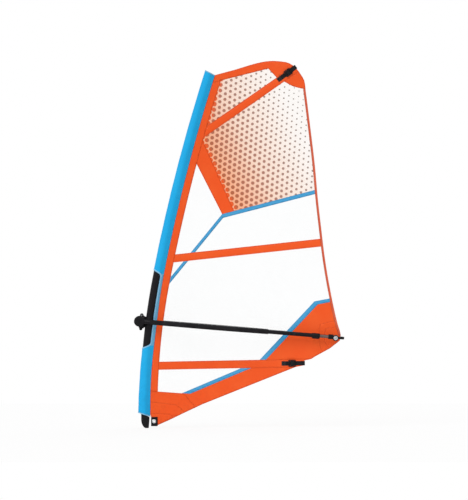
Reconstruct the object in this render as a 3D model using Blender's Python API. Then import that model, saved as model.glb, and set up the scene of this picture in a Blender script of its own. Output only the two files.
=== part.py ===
# Child's windsurf rig: a 1.5 m2 sail on a bent two-piece mast, with a wishbone boom.
# Metres, +Z up, +X from the mast towards the clew, Y across the sail.
# The origin is the middle of the mast foot's flat bottom, where its pin socket opens.
import math

import bmesh
import bpy
from mathutils import Vector

# Mast: straight up from the foot, then two arcs that bend it aft
MAST_X = -0.0164
MAST_BOTTOM = 0.0905
MAST_JOINT = 0.960
MAST_TOP = 1.930
MAST_RADIUS = 0.0215
MAST_TIP_RADIUS = 0.0165
MAST_WALL = 0.0022
BEND_START = 0.100
LOWER_BEND = 3.8
UPPER_BEND = 10.0
BEND_CHANGE = math.radians(11)
STATION_STEP = 0.08
ROUND_SIDES = 16
FIT_GAP = 0.0003
FERRULE_TAPER = 0.0012
TIP_PLUG_DEPTH = 0.030
TIP_PLUG_RIM = 0.004
TIP_PLUG_CROWN = (0.008, 0.6)

# Luff sleeve: round in front of the mast, drawn to a seam behind it
SLEEVE_RADIUS = 0.0230
SLEEVE_CLOTH = 0.0012
SLEEVE_REAR = 0.0355
SLEEVE_SEAM = (0.006, 0.0005)
SLEEVE_BOOM_BULGE = 0.0055
SLEEVE_BOTTOM = 0.0741
SLEEVE_BOTTOM_SLANT = 0.32
SLEEVE_TOP = 1.9534
SLEEVE_TOP_SLANT = 0.166
SLEEVE_SLACK = 0.008
SLEEVE_SLACK_TOP = 0.44
CUTOUT_BACK = 0.0195
CUTOUT_CORNER = 0.012
CUTOUT_TOP = (0.8527, -0.40)
CUTOUT_BOTTOM = (0.4513, 0.52)
CUTOUT_STEPS = 4
BINDING_WIDTH = 0.0065
BINDING_CLOTH = 0.0010
BINDING_GAP = 0.0006

# Sail plan, points as (x, z)
LUFF_BAND_REAR = 0.0755
LUFF_BAND_GAP = 0.0005
LUFF_TOP = 1.932
HEAD_EDGE = [
    (0.3761, 1.9380), (0.4568, 1.9600), (0.7181, 2.0143), (0.7823, 2.0028), (0.8213, 1.9737),
    (0.8438, 1.9440), (0.8647, 1.9078), (0.8718, 1.8556),
]
LEECH_EDGE = [
    (0.8718, 1.8556), (0.8927, 1.6909), (0.9251, 1.4164), (0.9377, 1.2710), (0.9575, 1.0953),
    (0.9779, 0.9300), (1.0096, 0.7439), (1.0486, 0.5682), (1.0634, 0.5172),
]
CLEW_CORNER = [(1.0645, 0.5089), (1.0601, 0.4809), (1.0480, 0.4705)]
FOOT_EDGE = [
    (1.0046, 0.4365), (0.9238, 0.3925), (0.9020, 0.3783), (0.8640, 0.3700), (0.8640, 0.3437),
    (0.8175, 0.3349), (0.3038, 0.1290), (0.2105, 0.0851), (0.1187, 0.0412), (0.0560, 0.0135),
]
TACK_CORNER = [(0.0262, 0.0135), (0.0262, 0.0500)]
TOP_POCKET = ((0.3127, 1.6200), (0.7277, 1.9090), 0.0210)
MIDDLE_POCKET = ((0.1504, 0.9308), (0.9629, 1.0184), 0.0215)
LOWER_POCKET = ((0.0697, 0.3415), (0.6242, 0.3519), 0.0220)
UPPER_STRIPE = ((0.4162, 1.1639), (0.9344, 1.2984), 0.0110)
SLANT_STRIPE = ((0.1274, 0.8098), (0.4162, 1.1639), 0.0090)
CLEW_STRIPE = ((0.9294, 0.6868), (1.0179, 0.7038), 0.0100)
CLEW_SLANT = ((0.6396, 0.3772), (0.9294, 0.6868), 0.0125)
FOOT_STRIPE = ((0.2053, 0.1845), (0.5364, 0.3245), 0.0104)
TACK_SEAM = ((0.0565, 0.2004), (0.1960, 0.1900))
SHOULDER_SEAM = ((0.2674, 1.4615), (0.4145, 1.1716))
DOTTED_SEAM = ((0.3080, 1.5773), (0.4749, 1.2023))
HEAD_SEAM = ((0.4008, 1.9067), (0.6671, 1.9731))
HEAD_NOTCH_X = 0.7126
CORNER_PATCH = ((0.7543, 1.9001), (0.8054, 1.8748), (0.8597, 1.8622))
LEECH_TAPE = 0.013
PANEL_CLOTH = 0.0010
TAPE_CLOTH = 0.0018
POCKET_DEPTH = 0.0064
CHANNEL = (0.0130, 0.0042)
CHANNEL_BEYOND = 0.03
BATTEN = (0.0110, 0.0028)
TOP_BATTEN = (0.028, 0.598)
MIDDLE_BATTEN = (0.006, 0.804)
LOWER_BATTEN = (0.006, 0.780)
SEAM_GAP = 0.00015
CLOTH_GRID = 0.08
CURVE_STEP = 0.022
DRAFT = 0.022

# Fittings on the sail; a ring is its radius, its hole, half its depth and half its web
CLEW_RING = (1.0360, 0.4947)
CLEW_RING_SIZE = (0.0150, 0.0085, 0.0026, 0.0011)
TACK_RING = (0.0392, 0.0368)
TACK_RING_SIZE = (0.0110, 0.0050, 0.0044, 0.0032)
RING_NECK = 0.0014
RING_LIP = (0.0010, 0.0006)
TACK_PLATE = (0.0233, 0.0099, 0.0598, 0.0604)
TACK_PLATE_CORNER = 0.003
TACK_PLATE_DEPTH = 0.0020
STRAP_WIDTH = 0.024
STRAP_CLOTH = 0.0014
STRAP_TUCK = 0.0006
STRAP_STEPS = 5
TOP_STRAP = ((0.7187, 1.9083), (0.8190, 1.9842))
LOWER_STRAP = ((0.7401, 0.3541), (0.8675, 0.3560))
BUCKLE_SIZE = (0.040, 0.037, 0.0036)
BUCKLE_SLOT = (0.0045, 0.0132, 0.0095)
TOP_BUCKLE = 0.57
LOWER_BUCKLE = 0.45

# Mast foot
FOOT_WIDTH = 0.035
FOOT_FRONT = -0.0307
FOOT_BACK = 0.0148
FOOT_TOP = 0.0845
FOOT_PLUG_RADIUS = 0.0186
FOOT_PLUG_TOP = 0.145
FOOT_ROUNDING = ((-0.0060, 0.0240), 0.0247, 180, 262, 6)
FOOT_EDGE_SOFT = 0.0045
SOCKET_RADIUS = 0.005
SOCKET_DEPTH = 0.017
FOOT_SHEAVE = (0.0040, 0.0370)
FOOT_SHEAVE_RADIUS = 0.0105
FOOT_SHEAVE_GROOVE = (0.0038, 0.0012, 0.0025)
FOOT_SLOT = 0.009
FOOT_SLOT_ROOM = 0.002
AXLE_HALF = 0.0146
BUTTON_HEIGHT = 0.0095
BUTTON_RADIUS = 0.0040
BUTTON_STAND = 0.0038
BUTTON_SUNK = 0.0040
BUTTON_WELL = 0.0085

# Boom: axis from the head barrel down to the clew
HEAD_AXIS = (-0.0401, 0.5863)
BOOM_SLOPE = math.radians(4.622)
ARM_RADIUS = 0.0110
ARM_BORE = 0.0093
ARM_PATH = [
    (-0.012, 0.0379), (0.030, 0.0452), (0.060, 0.0504), (0.140, 0.0780), (0.260, 0.1230),
    (0.400, 0.1480), (0.520, 0.1350), (0.630, 0.0930), (0.710, 0.0590), (0.765, 0.0462),
    (0.800, 0.0450), (0.830, 0.0450), (0.985, 0.0450),
]
ARM_SIDES = 12
BORE_START = 0.832
TAIL_Y = 0.0450
GRIP_START = 0.060
GRIP_END = 0.708
GRIP_RADIUS = 0.0134
BARREL_WAIST = 0.0210
BARREL_HALF = 0.058
WAIST_HALF = 0.0187
BARREL_SHOULDER = [(0, 0.0210), (0.0015, 0.0286), (0.0030, 0.0296)]
BARREL_END = [(0.0050, 0.0296), (0.0015, 0.0278), (0, 0.0241)]
ARM_SOCKET = (0.0006, 0.0007, 0.09)
GROOVES = (-0.0085, 0.0, 0.0085)
GROOVE_SIZE = (0.0160, 0.0016, 0.0016)

# Clamp that slides on the mast, in its own frame on the mast's line
CLAMP_HEIGHT = 0.579
SLIDE_MIDDLE = 0.050
SLIDE_SAG = 0.0016
CLAMP_BORE = 0.0255
CLAMP_OUTER = 0.0310
CLAMP_HALF = 0.030
CLAMP_MOUTH = math.radians(67)
LINER_BORE = 0.0237
LINER_OUTER = 0.0252
SADDLE_HALF = 0.0175
SADDLE_LOW = -0.036
SADDLE_HIGH = 0.0240
SADDLE_BACK = -0.0270
LEVER_LUG = (0.0078, 0.0349, 0.0098)
LOWER_LUG = (0.0129, -0.0398, 0.0088)
LUG_HALF = 0.0095
LUG_WEB = (0.002, 0.0290, 0.006)
LEVER_HALF = 0.0155
LEVER_ARC = (0.0225, 0.0283)
LEVER_HUB = 0.0085
LEVER_HEEL = (0.0010, 0.0258)
PIN_RADIUS = 0.0030

# Tail
COLLAR_START = 0.948
COLLAR_END = 0.9931
COLLAR_RADIUS = 0.0128
COLLAR_SOFT = (0.0006, 0.0020, 0.0015)
COLLAR_LUG = [(-0.0030, -0.0118), (-0.0026, -0.0168), (0.0026, -0.0168), (0.0030, -0.0118)]
COLLAR_LUG_STARTS = (0.0010, 0.0396)
COLLAR_LUG_LENGTH = 0.0040
CAM_ARC = (0.0131, 0.0150)
CAM_ENDS = (0.0055, 0.0060)
CAM_HUB = [(0.0, -0.0002), (-0.0018, -0.0012), (-0.0014, -0.0024), (0.0008, -0.0024)]
CAM_PIN_DROP = 0.0150
EXTENSION_RADIUS = 0.0090
EXTENSION_WALL = 0.0015
EXTENSION_START = 0.836
EXTENSION_END = 1.058
BLOCK_START = 1.0394
BLOCK_END = 1.0680
BLOCK_RADIUS = 0.0135
CHEEK = (1.0800, -0.0046)
CHEEK_RADIUS = 0.0170
CHEEK_INNER = 0.0370
CHEEK_OUTER = 0.0505
SHEAVE_RADIUS = 0.0120
SHEAVE_GROOVE = (0.0042, 0.0014, 0.0022)
SHEAVE_FLOOR = 0.0040
STUD_RADIUS = 0.0035
LINE_GAP = (-0.006, 0.002, -0.022, -0.008)
BOW_BACK = 1.1225
BOW_FRONT = 0.0130
BOW_CORNER = 0.0150
BOW_SIZE = (0.0045, 0.0070)
BOW_EDGE = 0.0018

# Colour as sRGB, roughness, metallic
FINISHES = {
    "sleeve_blue": ((41, 170, 226), 0.55, 0.0),
    "binding_blue": ((115, 180, 220), 0.6, 0.0),
    "stripe_blue": ((78, 160, 205), 0.5, 0.0),
    "sail_orange": ((241, 90, 41), 0.5, 0.0),
    "clear_film": ((240, 243, 244), 0.2, 0.0),
    "dotted_film": ((250, 215, 195), 0.3, 0.0),
    "carbon_black": ((30, 28, 32), 0.35, 0.0),
    "moulded_black": ((28, 27, 30), 0.5, 0.0),
    "webbing_black": ((32, 31, 34), 0.85, 0.0),
    "rubber_black": ((35, 34, 36), 0.8, 0.0),
    "foam_black": ((38, 37, 40), 0.9, 0.0),
    "batten_white": ((225, 225, 220), 0.4, 0.0),
    "bare_aluminium": ((150, 150, 152), 0.35, 1.0),
    "steel": ((205, 206, 208), 0.25, 1.0),
}


def linear(channel):
    value = channel / 255
    return value / 12.92 if value <= 0.04045 else ((value + 0.055) / 1.055) ** 2.4


def finish(name):
    material = bpy.data.materials.get(name)
    if material:
        return material
    colour, roughness, metallic = FINISHES[name]
    material = bpy.data.materials.new(name)
    material.use_nodes = True
    shader = material.node_tree.nodes["Principled BSDF"]
    shader.inputs["Base Color"].default_value = (*map(linear, colour), 1)
    shader.inputs["Roughness"].default_value = roughness
    shader.inputs["Metallic"].default_value = metallic
    return material


def frame_at(name, place, tilt):
    """An empty at a place, turned about Y, that carries the pieces drawn in its frame."""
    empty = bpy.data.objects.new(name, None)
    empty.location = place
    empty.rotation_euler = (0, tilt, 0)
    bpy.context.scene.collection.objects.link(empty)
    return empty


def piece(name, bm, look=None, parent=None, sharp=35):
    """An object from a bmesh; without a look it is a hidden cutter or helper."""
    bmesh.ops.recalc_face_normals(bm, faces=bm.faces[:])
    mesh = bpy.data.meshes.new(name)
    bm.to_mesh(mesh)
    bm.free()
    obj = bpy.data.objects.new(name, mesh)
    bpy.context.scene.collection.objects.link(obj)
    obj.parent = parent
    if look:
        mesh.materials.append(finish(look))
        mesh.shade_smooth()
        mesh.set_sharp_from_angle(angle=math.radians(sharp))
    else:
        obj.hide_render = True
        obj.display_type = "WIRE"
    return obj


def combine(obj, helper, operation="DIFFERENCE"):
    modifier = obj.modifiers.new(helper.name, "BOOLEAN")
    modifier.object = helper
    modifier.operation = operation
    modifier.solver = "EXACT"


def circle(radius, sides=ROUND_SIDES):
    turn = 2 * math.pi / sides
    return [(radius * math.cos(turn * i), radius * math.sin(turn * i)) for i in range(sides)]


def arc(centre, radius, start, end, steps):
    """Points on an arc, angles in degrees."""
    turns = [math.radians(start + (end - start) * i / steps) for i in range(steps + 1)]
    return [(centre[0] + radius * math.cos(a), centre[1] + radius * math.sin(a)) for a in turns]


def loft(rings, closed=False):
    """Skin through rings of equal count, capped at both ends unless it closes on itself."""
    bm = bmesh.new()
    loops = [[bm.verts.new(point) for point in ring] for ring in rings]
    pairs = list(zip(loops, loops[1:]))
    if closed:
        pairs.append((loops[-1], loops[0]))
    for first, second in pairs:
        for i in range(len(first)):
            j = (i + 1) % len(first)
            bm.faces.new((first[i], first[j], second[j], second[i]))
    if not closed:
        bm.faces.new(loops[0])
        bm.faces.new(loops[-1])
    return bm


def prism(outline, low, high):
    """A flat outline of (x, z) points extruded from y = low to y = high."""
    return loft([[(x, y, z) for x, z in outline] for y in (low, high)])


def turned_y(profile, centre, sides=ROUND_SIDES, closed=False):
    """Profile of (y, radius) turned about a line along Y through centre (x, z)."""
    return loft(
        [[(centre[0] + a, y, centre[1] + b) for a, b in circle(r, sides)] for y, r in profile], closed
    )


def turned_x(profile, centre, sides=ROUND_SIDES, closed=False):
    """Profile of (x, radius) turned about a line along X through centre (y, z)."""
    return loft(
        [[(x, centre[0] + a, centre[1] + b) for a, b in circle(r, sides)] for x, r in profile], closed
    )


def turned_z(profile, centre, sides=ROUND_SIDES, closed=False):
    """Profile of (z, radius) turned about a line along Z through centre (x, y)."""
    return loft(
        [[(centre[0] + a, centre[1] + b, z) for a, b in circle(r, sides)] for z, r in profile], closed
    )


# Mast line

def mast_line(z):
    """x of the mast's centre line at height z, and its lean from the vertical."""
    bend_end = BEND_START + LOWER_BEND * math.sin(BEND_CHANGE)
    if z <= BEND_START:
        return MAST_X, 0.0
    if z <= bend_end:
        lean = math.asin((z - BEND_START) / LOWER_BEND)
        return MAST_X + LOWER_BEND * (1 - math.cos(lean)), lean
    lean = math.asin((z - bend_end) / UPPER_BEND + math.sin(BEND_CHANGE))
    start = MAST_X + LOWER_BEND * (1 - math.cos(BEND_CHANGE))
    return start + UPPER_BEND * (math.cos(BEND_CHANGE) - math.cos(lean)), lean


def by_mast(z, aft, side=0.0):
    """The point at a distance aft of the mast's centre line, square to it, and to one side."""
    x, lean = mast_line(z)
    return Vector((x + aft * math.cos(lean), side, z - aft * math.sin(lean)))


def stations(low, high):
    """Heights from low to high, the inner ones on one shared grid so that fitted pieces match."""
    first = math.floor(low / STATION_STEP) + 1
    last = math.ceil(high / STATION_STEP) - 1
    inner = [i * STATION_STEP for i in range(first, last + 1)]
    near = 0.2 * STATION_STEP
    return [low] + [z for z in inner if z - low > near and high - z > near] + [high]


def mast_tube(low, high, outer, inner):
    """Hollow length of mast; outer and inner give the radius at a height."""
    heights = stations(low, high)
    outside = [[by_mast(z, a, b) for a, b in circle(outer(z))] for z in heights]
    inside = [[by_mast(z, a, b) for a, b in circle(inner(z))] for z in reversed(heights)]
    return loft(outside + inside, closed=True)


def mast_radius(z):
    share = max(0.0, (z - MAST_JOINT) / (MAST_TOP - MAST_JOINT))
    return MAST_RADIUS + (MAST_TIP_RADIUS - MAST_RADIUS) * share


def build_mast():
    piece(
        "mast_lower",
        mast_tube(MAST_BOTTOM, MAST_JOINT, mast_radius, lambda z: MAST_RADIUS - MAST_WALL),
        "carbon_black",
    )
    piece(
        "mast_upper",
        mast_tube(MAST_JOINT + FIT_GAP, MAST_TOP, mast_radius, lambda z: mast_radius(z) - MAST_WALL),
        "carbon_black",
    )
    ferrule = MAST_RADIUS - MAST_WALL - 2 * FIT_GAP
    piece(
        "mast_ferrule",
        mast_tube(
            MAST_JOINT - STATION_STEP,
            MAST_JOINT + STATION_STEP,
            lambda z: ferrule - (FERRULE_TAPER if z > MAST_JOINT else 0.0),
            lambda z: ferrule - MAST_WALL,
        ),
        "bare_aluminium",
    )
    rim = MAST_TIP_RADIUS
    plug_bottom = MAST_TOP - TIP_PLUG_DEPTH
    bore = mast_radius(plug_bottom) - MAST_WALL - 2 * FIT_GAP - FERRULE_TAPER
    crown, narrowed = TIP_PLUG_CROWN
    profile = [
        (plug_bottom, bore), (MAST_TOP + FIT_GAP, bore), (MAST_TOP + FIT_GAP, rim),
        (MAST_TOP + TIP_PLUG_RIM, rim), (MAST_TOP + crown, narrowed * rim),
    ]
    rings = [[by_mast(z, a, b) for a, b in circle(radius)] for z, radius in profile]
    piece("mast_tip_plug", loft(rings), "moulded_black")


# Luff sleeve

def sleeve_rear(z):
    near_boom = math.exp(-(((z - 0.55) / 0.18) ** 2))
    return SLEEVE_REAR + SLEEVE_BOOM_BULGE * near_boom


def sleeve_slack(z):
    share = (SLEEVE_SLACK_TOP - z) / (SLEEVE_SLACK_TOP - SLEEVE_BOTTOM)
    return SLEEVE_SLACK * min(1.0, max(0.0, share))


def sleeve_outline(radius, rear, slack, seam):
    """Round nose ahead of the mast, then straight sides drawn in to the rear seam."""
    nose = [(a * (1 + slack / radius), b) for a, b in arc((0, 0), radius, 90, 270, 8)]
    touch = math.degrees(math.acos(radius / rear))
    upper = [(rear, seam)] + arc((0, 0), radius, touch, 90, 2)[:-1]
    lower = [(a, -b) for a, b in upper]
    return upper + nose + lower[::-1]


def sleeve_half_width(aft, radius, rear, seam):
    """Half of the sleeve's width at a distance aft of the mast's centre line."""
    touch = math.acos(radius / rear)
    edge = radius * math.cos(touch)
    if aft <= edge:
        return math.sqrt(max(0.0, radius**2 - aft**2))
    height = radius * math.sin(touch)
    return height + (seam - height) * (aft - edge) / (rear - edge)


def sleeve_ring(z, slant, radius, back_off, seam):
    outline = sleeve_outline(radius, sleeve_rear(z) - back_off, sleeve_slack(z), seam)
    return [by_mast(z - slant * a, a, b) for a, b in outline]


def cutout_path(across):
    """The boom cut-out's edge as (aft, station, outward aft, outward up), from the front at the
    top, round the back, to the front at the bottom; across gives where it is read in front."""
    top, top_slope = CUTOUT_TOP
    bottom, bottom_slope = CUTOUT_BOTTOM
    inner = CUTOUT_BACK - CUTOUT_CORNER
    path = [(a, top + top_slope * a, 0, 1) for a in across]
    for i in range(CUTOUT_STEPS + 1):
        turn = i / CUTOUT_STEPS * math.pi / 2
        a = inner + CUTOUT_CORNER * math.sin(turn)
        z = top + top_slope * a - CUTOUT_CORNER * (1 - math.cos(turn))
        path.append((a, z, math.sin(turn), math.cos(turn)))
    high = path[-1][1]
    low = bottom + bottom_slope * CUTOUT_BACK + CUTOUT_CORNER
    path += [(CUTOUT_BACK, z, 1, 0) for z in reversed(stations(low, high)[1:-1])]
    for i in range(CUTOUT_STEPS + 1):
        turn = (1 - i / CUTOUT_STEPS) * math.pi / 2
        a = inner + CUTOUT_CORNER * math.sin(turn)
        z = bottom + bottom_slope * a + CUTOUT_CORNER * (1 - math.cos(turn))
        path.append((a, z, math.sin(turn), -math.cos(turn)))
    path += [(a, bottom + bottom_slope * a, 0, -1) for a in reversed(across)]
    return path


def build_sleeve():
    heights = stations(SLEEVE_BOTTOM, SLEEVE_TOP)
    slants = [SLEEVE_BOTTOM_SLANT] + [0] * (len(heights) - 2) + [SLEEVE_TOP_SLANT]
    inner_radius = SLEEVE_RADIUS - SLEEVE_CLOTH
    seam_depth, seam_half = SLEEVE_SEAM
    outside = [
        sleeve_ring(z, slant, SLEEVE_RADIUS, 0, SLEEVE_CLOTH) for z, slant in zip(heights, slants)
    ]
    inside = [
        sleeve_ring(z, slant, inner_radius, seam_depth, seam_half) for z, slant in zip(heights, slants)
    ]
    sleeve = piece("luff_sleeve", loft(outside + inside[::-1], closed=True), "sleeve_blue")
    ahead, half = -0.045, 0.06
    outline = [by_mast(z, a) for a, z, _, _ in cutout_path([ahead])]
    cutter = piece("boom_cutout", prism([(p.x, p.z) for p in outline], -half, half))
    combine(sleeve, cutter)


def build_binding():
    """A tape round the cut-out's edge, one closed loop that passes in front of the mast twice."""
    path = cutout_path([a for a, _ in arc((0, 0), SLEEVE_RADIUS, 180, 90, 6)])

    def place(step, lift, width, side):
        a, z, out_aft, out_up = step
        radius = SLEEVE_RADIUS + lift
        rear = sleeve_rear(z) + 2 * lift
        a += out_aft * width
        z += out_up * width
        if a < 0:
            a *= radius / SLEEVE_RADIUS
        return by_mast(z, a, side * sleeve_half_width(a, radius, rear, SLEEVE_CLOTH + lift))

    rings = []
    lifts = (BINDING_GAP, BINDING_GAP + BINDING_CLOTH)
    around = [(step, -1) for step in path] + [(step, 1) for step in path[-2:0:-1]]
    for step, side in around:
        rings.append([
            place(step, lifts[0], 0, side),
            place(step, lifts[1], 0, side),
            place(step, lifts[1], BINDING_WIDTH, side),
            place(step, lifts[0], BINDING_WIDTH, side),
        ])
    piece("cutout_binding", loft(rings, closed=True), "binding_blue")


# Sail cloth, drawn flat in (x, z) and then given its draft

def draft_at(x, z):
    """How far the cloth stands to +Y of the plane of the mast and boom."""
    start = mast_line(z)[0] + SLEEVE_REAR
    chord = 1.210 - 0.372 * z
    share = (x - start) / chord
    depth = DRAFT * (1 - 0.5 * (z / 2) ** 2)
    return depth * 6.75 * share * (1 - share) ** 2 if share > 0 else 0.0


def smooth(points, step):
    """A curve through points, read about every step."""
    knots = [Vector(p) for p in points]
    spans = [(b - a).length for a, b in zip(knots, knots[1:])]
    slopes = [(b - a) / d for a, b, d in zip(knots, knots[1:], spans)]
    tangents = [slopes[0]]
    for i in range(1, len(knots) - 1):
        before, after = spans[i - 1], spans[i]
        tangents.append((slopes[i - 1] * after + slopes[i] * before) / (before + after))
    tangents.append(slopes[-1])
    line = []
    for i, span in enumerate(spans):
        count = max(1, round(span / step))
        for j in range(count):
            t = j / count
            a = (1 + 2 * t) * (1 - t) ** 2
            b = t * (1 - t) ** 2
            c = t**2 * (3 - 2 * t)
            d = t**2 * (t - 1)
            line.append(
                knots[i] * a + tangents[i] * (b * span) + knots[i + 1] * c + tangents[i + 1] * (d * span)
            )
    return line + [knots[-1]]


def normal_of(a, b):
    """The left-hand side of the way from a to b."""
    way = (b - a).normalized()
    return Vector((-way.y, way.x))


def moved_left(line, distance):
    """A line shifted to its left by a distance."""
    result = []
    for i, point in enumerate(line):
        sides = []
        if i > 0:
            sides.append(normal_of(line[i - 1], point))
        if i < len(line) - 1:
            sides.append(normal_of(point, line[i + 1]))
        mean = sum(sides, Vector((0, 0))).normalized()
        result.append(point + mean * (distance / mean.dot(sides[0])))
    return result


def cross_2d(a, b):
    return a.x * b.y - a.y * b.x


def crossing(line, straight):
    """Position along a line of points where a straight line first meets it."""
    start, end = Vector(straight[0]), Vector(straight[1])
    for i, (a, b) in enumerate(zip(line, line[1:])):
        first = cross_2d(end - start, a - start)
        second = cross_2d(end - start, b - start)
        if first * second <= 0 and first != second:
            return i + first / (first - second)
    raise ValueError(f"no crossing with {straight}")


def point_on(line, position):
    i = min(int(position), len(line) - 2)
    return line[i].lerp(line[i + 1], position - i)


def stretch(line, start, end):
    """The points from one position along a line to another, in that order."""
    low, high = min(start, end), max(start, end)
    inner = [line[i] for i in range(math.ceil(low + 1e-6), math.floor(high - 1e-6) + 1)]
    points = [point_on(line, low)] + inner + [point_on(line, high)]
    return points if start <= end else points[::-1]


def between(line, first, second):
    """The stretch of a line from where one straight line meets it to where another does."""
    return stretch(line, crossing(line, first), crossing(line, second))


def meet(first, second):
    """Where two endless straight lines cross."""
    a, b = Vector(first[0]), Vector(first[1])
    c, d = Vector(second[0]), Vector(second[1])
    share = cross_2d(c - a, d - c) / cross_2d(b - a, d - c)
    return a + (b - a) * share


def edge_of(strip, side):
    """The long edge of a (start, end, half width) strip, to its left for +1."""
    start, end, half = Vector(strip[0]), Vector(strip[1]), strip[2]
    shift = normal_of(start, end) * (half * side)
    return start + shift, end + shift


def upright(x):
    return (x, 0.0), (x, 1.0)


def level(z):
    return (0.0, z), (1.0, z)


def tidy_outline(outline):
    """Drops points that crowd their neighbour, and turns the outline left-handed."""
    closest = 0.0012
    kept = []
    for point in map(Vector, outline):
        if not kept or (point - kept[-1]).length > closest:
            kept.append(point)
    if (kept[0] - kept[-1]).length <= closest:
        kept.pop()
    area = sum(cross_2d(a, b) for a, b in zip(kept, kept[1:] + kept[:1]))
    return kept if area > 0 else kept[::-1]


def inset(outline, distance):
    result = []
    count = len(outline)
    for i, point in enumerate(outline):
        before = normal_of(outline[i - 1], point)
        after = normal_of(point, outline[(i + 1) % count])
        mean = (before + after).normalized()
        result.append(point + mean * (distance / max(0.3, mean.dot(after))))
    return result


def give_draft(bm):
    for vert in bm.verts:
        vert.co.y += draft_at(vert.co.x, vert.co.z)


def cloth(outline, low, high, gap=SEAM_GAP):
    """A sheet of cloth between two depths, cut on a grid so that it can take the draft."""
    flat = inset(tidy_outline(outline), gap)
    bm = bmesh.new()
    bm.faces.new([bm.verts.new((p.x, low, p.y)) for p in flat])
    for axis in (0, 2):
        values = [vert.co[axis] for vert in bm.verts]
        cuts = range(math.ceil(min(values) / CLOTH_GRID), math.floor(max(values) / CLOTH_GRID) + 1)
        for cut in cuts:
            normal = Vector((1, 0, 0)) if axis == 0 else Vector((0, 0, 1))
            everything = bm.verts[:] + bm.edges[:] + bm.faces[:]
            bmesh.ops.bisect_plane(
                bm, geom=everything, dist=1e-5, plane_co=normal * (cut * CLOTH_GRID), plane_no=normal
            )
    bmesh.ops.triangulate(bm, faces=bm.faces[:])
    bm.verts.index_update()
    sheet = [[vert.index for vert in face.verts] for face in bm.faces]
    points = [vert.co.copy() for vert in bm.verts]
    border = [[vert.index for vert in edge.verts] for edge in bm.edges if edge.is_boundary]
    bm.free()
    return thickened(points, sheet, border, high - low)


def thickened(points, sheet, border, depth):
    bm = bmesh.new()
    near = [bm.verts.new(p) for p in points]
    far = [bm.verts.new(p + Vector((0, depth, 0))) for p in points]
    for corners in sheet:
        bm.faces.new([near[i] for i in corners])
        bm.faces.new([far[i] for i in reversed(corners)])
    for i, j in border:
        bm.faces.new((near[i], near[j], far[j], far[i]))
    give_draft(bm)
    return bm


def panel(name, outline, look, depth=PANEL_CLOTH):
    return piece(name, cloth(outline, -depth / 2, depth / 2), look)


def strip_outline(strip, half, start, end):
    """A strip's outline, from start to end as distances along it."""
    first, last = Vector(strip[0]), Vector(strip[1])
    way = (last - first).normalized()
    side = Vector((-way.y, way.x)) * half
    a, b = first + way * start, first + way * end
    return [a - side, b - side, b + side, a + side]


def pocket(name, strip, outline, batten_ends):
    """A batten pocket: a flat tube of cloth, open at both ends, with its batten inside."""
    tube = piece(name, cloth(outline, -POCKET_DEPTH / 2, POCKET_DEPTH / 2), "sail_orange")
    start, end = batten_ends
    half, depth = CHANNEL
    channel = strip_outline(strip, half, start - CHANNEL_BEYOND, end + CHANNEL_BEYOND)
    combine(tube, piece(name + "_channel", cloth(channel, -depth / 2, depth / 2)))
    half, depth = BATTEN
    body = strip_outline(strip, half, start, end)
    piece(name.replace("pocket", "batten"), cloth(body, -depth / 2, depth / 2), "batten_white")


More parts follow.
